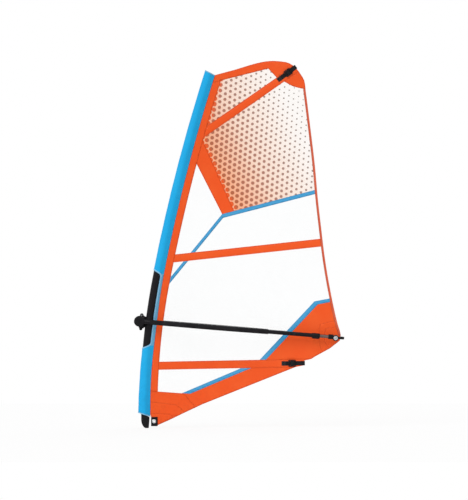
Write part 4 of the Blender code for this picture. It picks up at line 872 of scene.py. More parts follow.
def cutCloth(ring, hidden):
    # the flat piece, cut into cells so that it can take its shape
    cell = sailValues["cell"]
    bm = bmesh.new()
    bm.faces.new([bm.verts.new((p.x, 0.0, p.y)) for p in ring])
    for axis, normal in ((0, Vector((1, 0, 0))), (2, Vector((0, 0, 1)))):
        values = [vert.co[axis] for vert in bm.verts]
        for cut in range(math.ceil(min(values) / cell), math.floor(max(values) / cell) + 1):
            everything = bm.verts[:] + bm.edges[:] + bm.faces[:]
            place = normal * (cut * cell)
            bmesh.ops.bisect_plane(bm, geom=everything, dist=1e-5, plane_co=place, plane_no=normal)
    bmesh.ops.triangulate(bm, faces=[face for face in bm.faces if len(face.verts) > 4])
    for face in bm.faces:
        if face.normal.y > 0:
            face.normal_flip()
    seamUv(bm, ring, hidden)
    return bm


def asObject(name, bm, material):
    mesh = bpy.data.meshes.new(name)
    bm.to_mesh(mesh)
    bm.free()
    mesh.shade_smooth()
    mesh.materials.append(material)
    return linked(name, mesh)


def giveThickness(obj, thickness, offset=-1.0):
    thick = obj.modifiers.new("cloth", "SOLIDIFY")
    thick.thickness = thickness
    thick.offset = offset


def rideOn(obj, body, node=None):
    if node:
        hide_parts(node)
    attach(obj, body)


pieceNames = {
    "upper_dotted_panel": "upperDottedFilm", "lower_dotted_panel": "lowerDottedFilm",
    "luff_window": "luffWindowFilm", "mid_window": "midWindowFilm",
    "small_window": "smallWindowFilm", "main_window": "mainWindowFilm",
    "lower_window": "lowerWindowFilm", "head_panel": "headCloth", "head_corner": "headCornerCloth",
    "shoulder_panel": "shoulderCloth", "clew_panel": "clewCloth", "foot_panel": "footCloth",
    "upper_stripe": "upperStripeCloth", "stripe_tail": "stripeTailCloth",
    "clew_stripe": "clewStripeCloth", "foot_stripe": "footStripeCloth", "luff_band": "luffBandCloth",
}
sailPieces = {}


def makePanels():
    v = layerValues
    for node, name in pieceNames.items():
        rank = clothRank[node]
        ring, hidden = cutOutline(node)
        bm = cutCloth(ring, hidden)
        for vert in bm.verts:
            vert.co.y = sailY(vert.co.x, vert.co.z) + v["nearFace"][rank]
        slot = nodes[node].data.materials[0].name
        panel = asObject(name, bm, slotLooks[slot])
        giveThickness(panel, v["thickness"][rank])
        rideOn(panel, "rig", node)
        sailPieces[node] = panel
    print("panels cut and set:", len(pieceNames))


makePanels()


# Batten pockets: two strips of cloth over each batten, stitched along both long edges
pocketValues = {
    "flange": 4.5 * mm, "rise": 6.5 * mm, "step": 4 * mm, "cloth": 0.35 * mm,
    "near": (-1.10 * mm, -2.60 * mm), "far": (0.55 * mm, 2.30 * mm),
    "tucked": -0.74 * mm, "tuck": 5 * mm, "margin": 0.5 * mm, "fullness": 0.12,
    "ramps": {0: (13 * mm, 13 * mm), 1: (3.9 * mm, 3.1 * mm), 2: (7 * mm, 13 * mm)},
    "pucker": 0.3 * mm, "puckerPitch": 9 * mm, "puckerReach": 4 * mm, "columns": 20,
    "pieces": {
        "top_pocket": ("topPocketCloth", 0, 0.0210, False),
        "middle_pocket": ("middlePocketCloth", 1, 0.0215, True),
        "lower_pocket": ("lowerPocketCloth", 2, 0.0220, False),
    },
}


def eased(value):
    value = min(1.0, max(0.0, value))
    return value * value * (3 - 2 * value)


def addPatch(bm, rows, flip=False):
    # a patch of cloth through rows of (place, u, v)
    layer = bm.loops.layers.uv.get("seam") or bm.loops.layers.uv.new("seam")
    made = [[bm.verts.new(place) for place, u, v in row] for row in rows]
    for i in range(len(rows) - 1):
        for j in range(len(rows[0]) - 1):
            corners = [(i, j), (i + 1, j), (i + 1, j + 1), (i, j + 1)]
            if flip:
                corners.reverse()
            face = bm.faces.new([made[a][b] for a, b in corners])
            for loop, (a, b) in zip(face.loops, corners):
                loop[layer].uv = rows[a][b][1:]


def clothOf(name, look, *patches):
    # one object from patches, each of them (rows, flip)
    bm = bmesh.new()
    for rows, flip in patches:
        addPatch(bm, rows, flip)
    return asObject(name, bm, look)


def closedPatch(name, look, rows):
    # a patch whose last row meets the first
    bm = bmesh.new()
    addPatch(bm, rows)
    bmesh.ops.remove_doubles(bm, verts=bm.verts[:], dist=1e-6)
    bmesh.ops.recalc_face_normals(bm, faces=bm.faces[:])
    return asObject(name, bm, look)


def reachOf(ring, start, way, side, across):
    # where a line beside the pocket's middle enters and leaves its outline
    found = []
    for a, b in edgesOf(ring):
        first, second = (a - start).dot(side) - across, (b - start).dot(side) - across
        if first * second < 0:
            found.append((a.lerp(b, first / (first - second)) - start).dot(way))
    return min(found), max(found)


def pocketRows(node, near):
    v = pocketValues
    number, half, tuckedRear = v["pieces"][node][1:]
    start, end = (Vector(p) for p in sailValues["battens"][number])
    way = (end - start).normalized()
    side = Vector((-way.y, way.x))
    flat, crown = v["near"] if near else v["far"]
    lowest = v["tucked"] if near else flat
    out = -1 if near else 1
    frontRamp, rearRamp = v["ramps"][number]
    turns = [math.radians(-90 + 180 * j / v["columns"]) for j in range(v["columns"] + 1)]
    columns = [half * math.sin(turn) for turn in turns]
    widest = half - v["margin"]
    reaches = [
        reachOf(plan[node], start, way, side, max(-widest, min(widest, across))) for across in columns
    ]
    count = round((reaches[0][1] - reaches[0][0]) / v["step"])
    rows = []
    for i in range(count + 1):
        row = []
        for across, (first, last) in zip(columns, reaches):
            first -= v["tuck"]
            last += v["tuck"] if tuckedRear else 0.0
            along = first + (last - first) * i / count
            rim = half - abs(across)
            lifted = eased((along - first - v["tuck"]) / frontRamp)
            if tuckedRear:
                lifted *= eased((last - along - v["tuck"]) / rearRamp)
            fullness = 1 + v["fullness"] * noise.noise(Vector((along * 22, number, out)))
            depth = lowest + (flat - lowest) * lifted
            depth += (crown - flat) * lifted * fullness * eased((rim - v["flange"]) / v["rise"])
            turn = 2 * math.pi * along / v["puckerPitch"] + (2 if across > 0 else 0)
            wave = 0.5 + 0.5 * math.sin(turn)
            depth += out * v["pucker"] * wave * lifted * math.exp(-rim / v["puckerReach"])
            p = start + way * along + side * across
            u, seam = along, rim
            if not tuckedRear and last - along < rim:
                u, seam = across, last - along
            row.append((Vector((p.x, sailY(p.x, p.y) + depth, p.y)), u, seam))
        rows.append(row)
    return rows


def makePockets():
    v = pocketValues
    for node, (name, none, half, none) in v["pieces"].items():
        near, far = pocketRows(node, True), pocketRows(node, False)
        pocket = clothOf(name, slotLooks["sail_orange"], (near, False), (far, True))
        giveThickness(pocket, v["cloth"])
        rideOn(pocket, "rig", node)
    print("batten pockets made:", len(v["pieces"]))


makePockets()


# Leech tape: one strip folded over the sail's rear edge
leechValues = {
    "edge": [
        (0.8709, 1.8622), (0.8718, 1.8556), (0.8927, 1.6909), (0.9251, 1.4164), (0.9377, 1.2710),
        (0.9575, 1.0953), (0.9779, 0.9300), (1.0096, 0.7439), (1.0486, 0.5682), (1.0634, 0.5172),
        (1.0645, 0.5089),
    ],
    "width": 13 * mm, "step": 8 * mm, "middle": -0.10 * mm, "half": 1.05 * mm, "cloth": 0.35 * mm,
    "pucker": 0.15 * mm, "puckerPitch": 7 * mm, "puckerFrom": 6 * mm, "turnIn": 1 * mm,
}


def smoothLine(points, step):
    # a curve through the points, read about every step
    knots = [Vector(p) for p in points]
    spans = [(b - a).length for a, b in zip(knots, knots[1:])]
    slopes = [(b - a) / d for a, b, d in zip(knots, knots[1:], spans)]
    tangents = [slopes[0]]
    for i in range(1, len(knots) - 1):
        before, after = spans[i - 1], spans[i]
        tangents.append((slopes[i - 1] * after + slopes[i] * before) / (before + after))
    tangents.append(slopes[-1])
    line = []
    for i, span in enumerate(spans):
        count = max(1, round(span / step))
        for j in range(count):
            t = j / count
            point = knots[i] * ((1 + 2 * t) * (1 - t) ** 2) + knots[i + 1] * (t * t * (3 - 2 * t))
            point += tangents[i] * (t * (1 - t) ** 2 * span)
            point += tangents[i + 1] * (t * t * (t - 1) * span)
            line.append(point)
    return line + [knots[-1]]


def stepsAlong(line):
    # each point with the line's direction there and the length up to it
    travelled = 0.0
    for i, point in enumerate(line):
        before, after = line[max(0, i - 1)], line[min(len(line) - 1, i + 1)]
        travelled += (point - line[i - 1]).length if i else 0.0
        yield point, (after - before).normalized(), travelled


def foldedSection(width, middle, half):
    # (distance in from the edge, depth) from the near hem round the fold to the far hem
    leg = [width - (width - 1.6 * mm) * i / 5 for i in range(6)]
    turns = [math.radians(t) for t in range(-75, 90, 25)]
    fold = [(half * (1 - math.cos(t)), middle + half * math.sin(t)) for t in turns]
    near = [(d, middle - half) for d in leg]
    far = [(d, middle + half) for d in reversed(leg)]
    return near + fold + far


def makeLeechTape():
    v = leechValues
    section = foldedSection(v["width"], v["middle"], v["half"])
    rows = []
    for point, way, travelled in stepsAlong(smoothLine(v["edge"], v["step"])):
        inward = Vector((way.y, -way.x))
        wave = 0.5 + 0.5 * math.sin(2 * math.pi * travelled / v["puckerPitch"])
        row = []
        for distance, depth in section:
            p = point + inward * distance
            out = -1 if depth < v["middle"] else 1
            lift = v["pucker"] * wave * out if distance > v["puckerFrom"] else 0.0
            place = Vector((p.x, sailY(p.x, p.y) + depth + lift, p.y))
            row.append((place, travelled, v["width"] - distance))
        rows.append(row)
    tape = clothOf("leechTapeCloth", tapeCloth, (rows, False))
    giveThickness(tape, v["cloth"])
    rideOn(tape, "rig", "leech_tape")
    print("leech tape folded over", round(travelled, 3), "m")


makeLeechTape()


# Reinforcing plies at the clew and the tack, on both faces of the sail
plyValues = {
    "cloth": 0.18 * mm, "near": -0.58 * mm, "far": 0.10 * mm, "each": 0.18 * mm,
    "underSleeve": 0.028,
    "plies": [
        ("clewPly", 0, [
            (0.9600, 0.4130), (1.0046, 0.4373), (1.0477, 0.4712), (1.0593, 0.4814), (1.0634, 0.5080),
            (1.0530, 0.5160), (1.0390, 0.5682), (1.0340, 0.5896), (1.0030, 0.5852), (0.9525, 0.5726),
            (0.9443, 0.5474), (0.9443, 0.4721), (0.9520, 0.4400),
        ]),
        ("clewInnerPly", 1, [
            (0.9990, 0.4345), (1.0046, 0.4375), (1.0475, 0.4714), (1.0590, 0.4816), (1.0630, 0.5080),
            (1.0530, 0.5160), (1.0420, 0.5590), (0.9816, 0.5474), (0.9740, 0.5200), (0.9712, 0.4760),
            (0.9850, 0.4560), (0.9950, 0.4420),
        ]),
        ("tackPly", 0, [
            (0.0268, 0.0143), (0.0558, 0.0143), (0.1187, 0.0420), (0.2105, 0.0859), (0.2800, 0.1188),
            (0.2619, 0.1241), (0.2380, 0.1490), (0.2158, 0.1779), (0.1963, 0.1894), (0.0820, 0.1978),
            (0.0212, 0.2014), (0.0212, 0.0800), (0.0268, 0.0500),
        ]),
        ("tackMiddlePly", 1, [
            (0.0268, 0.0145), (0.0558, 0.0145), (0.1187, 0.0422), (0.2100, 0.0858), (0.1850, 0.1120),
            (0.1620, 0.1279), (0.0980, 0.1370), (0.0212, 0.1450), (0.0212, 0.0800), (0.0268, 0.0500),
        ]),
        ("tackInnerPly", 2, [
            (0.0268, 0.0147), (0.0558, 0.0147), (0.1187, 0.0424), (0.1500, 0.0570), (0.1380, 0.0700),
            (0.1235, 0.0780), (0.0760, 0.0810), (0.0213, 0.0822), (0.0268, 0.0500),
        ]),
    ],
}
holeValues = {"clew": ((1.0360, 0.4947), 10.5 * mm), "tack": ((0.0392, 0.0368), 7 * mm), "sides": 40}


def useOnly(obj):
    bpy.ops.object.select_all(action="DESELECT")
    obj.select_set(True)
    bpy.context.view_layer.objects.active = obj


def applyAll(obj):
    useOnly(obj)
    for modifier in list(obj.modifiers):
        bpy.ops.object.modifier_apply(modifier=modifier.name)


def combine(obj, other, operation):
    change = obj.modifiers.new(operation.lower(), "BOOLEAN")
    change.operation = operation
    change.object = other
    change.solver = "EXACT"
    applyAll(obj)
    bpy.data.objects.remove(other)


def cutAway(obj, cutter):
    combine(obj, cutter, "DIFFERENCE")


def addOn(obj, extra):
    combine(obj, extra, "UNION")


def punch(obj, corner):
    # the hole in the cloth that the ring's neck goes through
    (x, z), radius = holeValues[corner]
    bpy.ops.object.select_all(action="DESELECT")
    bpy.ops.mesh.primitive_cylinder_add(
        vertices=holeValues["sides"], radius=radius, depth=0.06, location=(x, 0, z),
        rotation=(math.pi / 2, 0, 0),
    )
    cutAway(obj, bpy.context.object)


def makePlies():
    v = plyValues
    for name, level, points in v["plies"]:
        ring = [Vector(p) for p in points]
        # the edges that lie under the sleeve have no stitches
        hidden = [max(a.x, b.x) < v["underSleeve"] for a, b in edgesOf(ring)]
        depths = {"Near": v["near"] - level * v["each"], "Far": v["far"] + level * v["each"]}
        for side, depth in depths.items():
            bm = cutCloth(ring, hidden)
            for vert in bm.verts:
                vert.co.y = sailY(vert.co.x, vert.co.z) + depth
            if side == "Far":
                bmesh.ops.reverse_faces(bm, faces=bm.faces[:])
            ply = asObject(name + side, bm, slotLooks["sail_orange"])
            giveThickness(ply, v["cloth"])
            punch(ply, name[:4])
            rideOn(ply, "rig")
    punch(sailPieces["clew_panel"], "clew")
    punch(sailPieces["foot_panel"], "tack")
    print("plies made:", 2 * len(v["plies"]))


makePlies()


# Luff sleeve: round in front of the mast and drawn to a seam behind it, with the boom cut-out
sleeveValues = {
    "radius": 0.0230, "seam": 1.75 * mm, "cloth": 0.5 * mm, "step": 9 * mm,
    "bottom": 0.0741, "bottomSlant": 0.32, "top": 1.9534, "topSlant": 0.166, "slantReach": 0.10,
    "slack": 0.008, "slackTop": 0.44, "sideColumns": 8, "noseColumns": 26, "wrinkle": 1.3 * mm,
    "cutTop": (0.8527, -0.40), "cutBottom": (0.4513, 0.52), "cutBack": 0.0195, "cutCorner": 0.012,
    "cutFront": -0.045, "cutReach": 0.06, "footGather": (1.2, 0.12, 0.10), "seamBehind": 0.036,
}
bindingValues = {
    "width": 8.0 * mm, "lift": 0.6 * mm, "cloth": 1.0 * mm, "step": 0.02, "cornerSteps": 8,
    "frontSteps": 12, "hemWidth": 6.0 * mm, "hemHalf": 0.55 * mm, "hemCloth": 0.25 * mm,
    "hemPast": 0.6 * mm, "hemTurnIn": 1.5 * mm,
}


def sleeveOutline(z, radius):
    v = sleeveValues
    rear = sleeveRear(z)
    share = (v["slackTop"] - z) / (v["slackTop"] - v["bottom"])
    slack = v["slack"] * min(1.0, max(0.0, share))
    touch = math.acos(radius / rear)
    corner = Vector((radius * math.cos(touch), radius * math.sin(touch)))
    seam = Vector((rear, v["seam"]))
    half = [seam.lerp(corner, j / v["sideColumns"]) for j in range(v["sideColumns"])]
    count = v["noseColumns"] // 2
    for j in range(count + 1):
        turn = touch + (math.pi - touch) * j / count
        a = radius * math.cos(turn)
        half.append(Vector((a * (1 + slack / radius) if a < 0 else a, radius * math.sin(turn))))
    return [Vector((p.x, -p.y)) for p in half] + half[-2::-1]


def outOf(p, way):
    # square to the sleeve's outline and away from the mast
    return Vector((-way.y, way.x)) * (-1 if way.x * p.y - way.y * p.x > 0 else 1)


def cutEdgeHeights(a):
    v = sleeveValues
    (high, highSlope), (low, lowSlope) = v["cutTop"], v["cutBottom"]
    return low + lowSlope * a, high + highSlope * a


def sleeveWrinkle(z, a, side, seamDistance):
    v = sleeveValues
    low, high = cutEdgeHeights(a)
    nearCut = min(abs(z - low), abs(z - high)) if a < 0.03 else 0.05
    calm = eased(nearCut / 0.03 - 0.3) * eased(seamDistance / 0.012)
    folds = math.sin(z * 34 + 2.3 * math.sin(z * 5.1) + a * 40 + side * 1.7)
    fine = noise.noise(Vector((z * 14, a * 45, side * 3)))
    gather, middle, reach = v["footGather"]
    nearFoot = 1 + gather * math.exp(-((z - middle) / reach) ** 2)
    return v["wrinkle"] * calm * min(1.0, nearFoot * (0.22 + 0.22 * folds + 0.3 * max(0.0, fine)))


def cutPath(across):
    # the cut-out's edge as (aft, height, outward aft, outward up), round its back from the top
    v, b = sleeveValues, bindingValues
    (high, highSlope), (low, lowSlope) = v["cutTop"], v["cutBottom"]
    corner, inner = v["cutCorner"], v["cutBack"] - v["cutCorner"]
    path = [(a, high + highSlope * a, 0.0, 1.0) for a in across]
    turns = [math.pi / 2 * i / b["cornerSteps"] for i in range(b["cornerSteps"] + 1)]
    for turn in turns:
        sin, cos = math.sin(turn), math.cos(turn)
        a = inner + corner * sin
        path.append((a, high + highSlope * a - corner * (1 - cos), sin, cos))
    first, last = path[-1][1], low + lowSlope * v["cutBack"] + corner
    count = round((first - last) / b["step"])
    path += [(v["cutBack"], first + (last - first) * i / count, 1.0, 0.0) for i in range(1, count)]
    for turn in reversed(turns):
        sin, cos = math.sin(turn), math.cos(turn)
        a = inner + corner * sin
        path.append((a, low + lowSlope * a + corner * (1 - cos), sin, -cos))
    return path + [(a, low + lowSlope * a, 0.0, -1.0) for a in reversed(across)]


def sleeveRows():
    v = sleeveValues
    count = round((v["top"] - v["bottom"]) / v["step"])
    rows = []
    for i in range(count + 1):
        z = v["bottom"] + (v["top"] - v["bottom"]) * i / count
        # the ends are cut on a slant that eases out over the first few centimetres
        slant = v["bottomSlant"] * eased(1 - (z - v["bottom"]) / v["slantReach"])
        slant += v["topSlant"] * eased(1 - (v["top"] - z) / v["slantReach"])
        steps = list(stepsAlong(sleeveOutline(z, v["radius"])))
        around = steps[-1][2]
        hem = min(z - v["bottom"], v["top"] - z)
        row = []
        for p, way, travelled in steps:
            seam = min(travelled, around - travelled)
            p = p + outOf(p, way) * sleeveWrinkle(z, p.x, 1 if p.y > 0 else -1, seam)
            uv = (travelled, hem) if hem < seam else (z, seam)
            row.append((byMast(z - slant * p.x, p.x, p.y), *uv))
        rows.append(row)
    return rows


def boomCutter():
    # the cut-out's outline, filled and drawn right through the sleeve
    reach = sleeveValues["cutReach"]
    outline = [byMast(step[1], step[0]) for step in cutPath([sleeveValues["cutFront"]])]
    bm = bmesh.new()
    face = bm.faces.new([bm.verts.new((p.x, -reach, p.z)) for p in outline])
    moved = bmesh.ops.extrude_face_region(bm, geom=[face])["geom"]
    verts = [g for g in moved if isinstance(g, bmesh.types.BMVert)]
    bmesh.ops.translate(bm, verts=verts, vec=(0, 2 * reach, 0))
    bmesh.ops.recalc_face_normals(bm, faces=bm.faces[:])
    return asObject("boomCutOut", bm, slotLooks["sleeve_blue"])


def makeSleeve():
    v = sleeveValues
    sleeve = clothOf("luffSleeveCloth", slotLooks["sleeve_blue"], (sleeveRows(), True))
    giveThickness(sleeve, v["cloth"])
    cutAway(sleeve, boomCutter())
    rideOn(sleeve, "rig", "luff_sleeve")
    print("sleeve cut and set round the mast")


def sleeveHalfWidth(aft, radius, rear, seam):
    touch = math.acos(radius / rear)
    edge = radius * math.cos(touch)
    if aft <= edge:
        return math.sqrt(max(0.0, radius**2 - aft**2))
    height = radius * math.sin(touch)
    return height + (seam - height) * (aft - edge) / (rear - edge)


def makeBinding():
    v, radius = bindingValues, sleeveValues["radius"]
    lift, cloth, width = v["lift"], v["cloth"], v["width"]
    section = [
        (0.0, lift), (-0.1 * mm, lift + 0.5 * cloth), (0.5 * mm, lift + cloth),
        (0.5 * width, lift + 1.05 * cloth), (width - 0.5 * mm, lift + cloth),
        (width, lift + 0.5 * cloth), (width, lift),
    ]
    count = v["frontSteps"]
    front = [radius * math.cos(math.pi - math.pi / 2 * i / count) for i in range(count + 1)]
    path = cutPath(front)
    around = [(step, -1) for step in path] + [(step, 1) for step in path[-2:0:-1]]
    rows, travelled, last = [], 0.0, None
    for (a, z, outAft, outUp), side in around + around[:1]:
        row = []
        for distance, high in section + section[:1]:
            aft, station = a + outAft * distance, z + outUp * distance
            raised = radius + high
            if aft < 0:
                aft *= raised / radius
            half = sleeveHalfWidth(aft, raised, sleeveRear(station) + 2 * high, 1.2 * mm + high)
            row.append((byMast(station, aft, side * half), distance))
        travelled += (row[0][0] - last).length if last else 0.0
        last = row[0][0]
        rows.append([(place, travelled, distance) for place, distance in row])
    binding = closedPatch("cutOutBinding", slotLooks["binding_blue"], rows)
    rideOn(binding, "rig", "cutout_binding")
    # cut as a tape of twice the width, folded and pressed flat
    print("binding sewn round the cut-out,", round(travelled, 3), "m")


def makeHem(name, end, slant, up):
    # a tape folded over the sleeve's end, in step with its slant
    v, b = sleeveValues, bindingValues
    outline = sleeveOutline(end, v["radius"])[1:-1]
    section = foldedSection(b["hemWidth"], -v["cloth"] / 2, b["hemHalf"])
    rows = []
    for p, way, travelled in stepsAlong(outline):
        row = []
        for distance, depth in section:
            q = p + outOf(p, way) * depth
            height = end + up * (distance - b["hemPast"]) - slant * p.x
            row.append((byMast(height, q.x, q.y), travelled, b["hemWidth"] - distance))
        rows.append(row)
    hem = clothOf(name, slotLooks["binding_blue"], (rows, up > 0))
    giveThickness(hem, b["hemCloth"], 0.0)
    rideOn(hem, "rig")


makeSleeve()
makeBinding()
makeHem("sleeveFootHem", sleeveValues["bottom"], sleeveValues["bottomSlant"], 1)
makeHem("sleeveHeadHem", sleeveValues["top"], sleeveValues["topSlant"], -1)


# Straps that hold the battens in, each through a buckle
strapValues = {
    "width": 24 * mm, "cloth": 1.3 * mm, "cup": 0.25 * mm, "step": 2.5 * mm, "columns": 8,
    "lead": [(0.0, -3.3), (12.0, -3.7)],
    "intoBuckle": [(-16.0, -4.0), (-11.0, -5.0), (-7.2, -7.6), (-3.5, -8.7)],
    "turn": 3.9 * mm, "beforeTurn": 10 * mm, "back": [(12.0, 3.5), (0.0, 3.1)],
    "buckle": (40 * mm, 37 * mm), "buckleDepths": (-9.2 * mm, -5.8 * mm), "corner": 4 * mm,
    "window": (27 * mm, 26.6 * mm), "bar": (6 * mm, -8.0 * mm, -6.4 * mm), "barEnds": 4 * mm,
    "straps": {
        "top": ((0.7187, 1.9083), (0.8190, 1.9842), 0.57),
        "lower": ((0.7401, 0.3541), (0.8675, 0.3560), 0.45),
    },
}


def strapLine(name):
    start, end, share = strapValues["straps"][name]
    start, end = Vector(start), Vector(end)
    way = (end - start).normalized()
    return start, way, (end - start).length, (end - start).length * share


def inMm(pairs):
    return [(a * mm, b * mm) for a, b in pairs]


def strapPath(name):
    # (along, depth) over the near face, through the buckle, round the end and back
    v = strapValues
    start, way, length, buckleAt = strapLine(name)
    into = [(buckleAt + s, y) for s, y in inMm(v["intoBuckle"])]
    out = [(2 * buckleAt - s, y) for s, y in reversed(into)]
    turn, flatEnd = v["turn"], length - v["beforeTurn"]
    turns = [math.radians(t) for t in range(0, 181, 30)]
    end = [(length - turn + turn * math.sin(t), -turn * math.cos(t)) for t in turns]
    path = inMm(v["lead"]) + into + out + [(flatEnd, -turn)] + end + [(flatEnd, turn)]
    return smoothLine(path + inMm(v["back"]), v["step"])


def makeStrap(name):
    v = strapValues
    start, way, length, buckleAt = strapLine(name)
    side = Vector((-way.y, way.x))
    rows = []
    for point, none, travelled in stepsAlong(strapPath(name)):
        row = []
        for j in range(v["columns"] + 1):
            across = v["width"] * (j / v["columns"] - 0.5)
            cupped = v["cup"] * (2 * across / v["width"]) ** 2
            p = start + way * point.x + side * across
            depth = point.y + (cupped if point.y < 0 else -cupped)
            row.append((Vector((p.x, draftAt(p.x, p.y) + depth, p.y)), travelled, across))
        rows.append(row)
    strap = clothOf(name + "StrapWebbing", slotLooks["webbing_black"], (rows, False))
    giveThickness(strap, v["cloth"], 0.0)
    rideOn(strap, "rig", name + "_strap")


# Rigid pieces: made from primitives in edit mode, then set in the place that the CAD gives them
boomPlace = Matrix.Translation((-0.0401, 0, 0.5863)) @ Matrix.Rotation(math.radians(4.622), 4, "Y")
alongY = Matrix.Rotation(math.radians(-90), 4, "X")
upright = Matrix.Rotation(math.radians(90), 4, "X")
alongX = Matrix.Rotation(math.radians(90), 4, "Y")
acrossBoom = {"port": Matrix.Identity(4), "starboard": Matrix.Diagonal((1, -1, 1, 1))}


def closeUp(distance):
    # merges what meets and turns the faces outwards
    bpy.ops.object.mode_set(mode="EDIT")
    bpy.ops.mesh.select_all(action="SELECT")
    bpy.ops.mesh.remove_doubles(threshold=distance)
    bpy.ops.mesh.normals_make_consistent(inside=False)
    bpy.ops.object.mode_set(mode="OBJECT")


def turned(name, profile, sides, closed=False):
    # (height, radius) pairs: each ring is the last one, extruded up and scaled
    height, radius = profile[0]
    bpy.ops.object.select_all(action="DESELECT")
    filled = "NOTHING" if closed else "NGON"
    bpy.ops.mesh.primitive_circle_add(
        vertices=sides, radius=radius, fill_type=filled, location=(0, 0, height)
    )
    obj = bpy.context.object
    obj.name = name
    bpy.ops.object.transform_apply(location=True, rotation=False, scale=False)
    bpy.ops.object.mode_set(mode="EDIT")
    bpy.ops.mesh.select_all(action="SELECT")
    rings = profile[1:] + (profile[:1] if closed else [])
    for nextHeight, nextRadius in rings:
        up = (0, 0, nextHeight - height)
        bpy.ops.mesh.extrude_region_move(TRANSFORM_OT_translate={"value": up})
        ratio = nextRadius / radius
        bpy.ops.transform.resize(value=(ratio, ratio, 1), center_override=(0, 0, nextHeight))
        height, radius = nextHeight, nextRadius
    closeUp(1e-6)
    return obj


def bothEnds(side):
    # a wheel's profile from its upper half
    return inMm(side + [(-h, r) for h, r in reversed(side)])


def box(name, size, centre):
    bpy.ops.object.select_all(action="DESELECT")
    bpy.ops.mesh.primitive_cube_add(size=1, location=centre)
    obj = bpy.context.object
    obj.name = name
    obj.scale = size
    bpy.ops.object.transform_apply(location=True, rotation=False, scale=True)
    return obj


def cornersRounded(obj, width):
    # rounds the four edges that run through a flat plate
    useOnly(obj)
    bpy.context.tool_settings.mesh_select_mode = (False, True, False)
    for group in (obj.data.vertices, obj.data.edges, obj.data.polygons):
        group.foreach_set("select", [False] * len(group))
    for edge in obj.data.edges:
        a, b = (obj.data.vertices[i].co for i in edge.vertices)
        edge.select = abs((a - b).normalized().y) > 0.99
    bpy.ops.object.mode_set(mode="EDIT")
    bpy.ops.mesh.bevel(offset=width, segments=6, affect="EDGES")
    bpy.ops.object.mode_set(mode="OBJECT")
    bpy.context.tool_settings.mesh_select_mode = (True, False, False)


def soften(obj, width, segments=3, angle=30):
    edges = obj.modifiers.new("softEdges", "BEVEL")
    edges.width = width
    edges.segments = segments
    edges.limit_method = "ANGLE"
    edges.angle_limit = math.radians(angle)
    applyAll(obj)


def settle(obj, matrix):
    obj.data.transform(matrix)
    if matrix.determinant() < 0:
        obj.data.flip_normals()
    return obj


def dress(obj, slot, sharp):
    obj.data.materials.clear()
    obj.data.materials.append(slotLooks[slot])
    obj.data.shade_smooth()
    obj.data.set_sharp_from_angle(angle=math.radians(sharp))


def finishRigid(obj, slot, body, replaced, sharp=35):
    dress(obj, slot, sharp)
    rideOn(obj, body, replaced)


def arcOf(centre, radius, start, end, step=7.5):
    count = max(2, round(abs(end - start) / step))
    turns = [math.radians(start + (end - start) * i / count) for i in range(count + 1)]
    x, y = centre
    return [Vector((x + radius * math.cos(t), y + radius * math.sin(t))) for t in turns]


def roundedOff(points, radii):
    # each corner of an outline gets its own radius, 0 leaves it sharp
    points = [Vector(p) for p in points]
    made = []
    for i, corner in enumerate(points):
        radius = radii[i] if isinstance(radii, list) else radii
        before = (points[i - 1] - corner).normalized()
        after = (points[(i + 1) % len(points)] - corner).normalized()
        turn = before.angle(after)
        if radius == 0 or turn > math.radians(170):
            made.append(corner)
            continue
        first = corner + before * (radius / math.tan(turn / 2))
        last = corner + after * (radius / math.tan(turn / 2))
        count = max(2, round(math.degrees(math.pi - turn) / 12))
        middle = corner + (before + after).normalized() * (radius / math.sin(turn / 2))
        for j in range(count + 1):
            made.append(middle + (first.lerp(last, j / count) - middle).normalized() * radius)
    return made


def newCurve(name, dimensions, points, closed=False):
    curve = bpy.data.curves.new(name, "CURVE")
    curve.dimensions = dimensions
    line = curve.splines.new("POLY")
    line.points.add(len(points) - 1)
    for made, place in zip(line.points, points):
        made.co = (*place, 1.0)
    line.use_cyclic_u = closed
    return curve


def asMesh(name, curve):
    useOnly(linked(name, curve))
    bpy.ops.object.convert(target="MESH")
    return bpy.context.object


def plateOf(name, outline, half, soft, steps=3):
    # an outline filled, made thick and rounded at its rims, square to local Z
    curve = newCurve(name, "2D", [(*place, 0.0) for place in outline], closed=True)
    curve.fill_mode = "BOTH"
    curve.extrude = half - soft
    curve.bevel_depth = soft
    curve.bevel_resolution = steps
    curve.offset = -soft
    plate = asMesh(name, curve)
    closeUp(2e-6)
    return plate


def tubeAlong(name, points, radius, wall, resolution=10):
    # a curve with a round bevel, made a mesh and given its wall
    curve = newCurve(name, "3D", points)
    curve.bevel_depth = radius
    curve.bevel_resolution = resolution
    tube = asMesh(name, curve)
    giveThickness(tube, wall)
    applyAll(tube)
    return tube


def pinOf(name, radius, half, centre, soft=0.0, sides=40):
    # a round pin along Y with its ends rounded off
    profile = [(-half, radius - soft), (half, radius - soft)]
    if soft:
        profile[1:1] = [(-half + soft, radius), (half - soft, radius)]
    pin = turned(name, profile, sides)
    return settle(pin, Matrix.Translation((centre[0], 0, centre[1])) @ alongY)


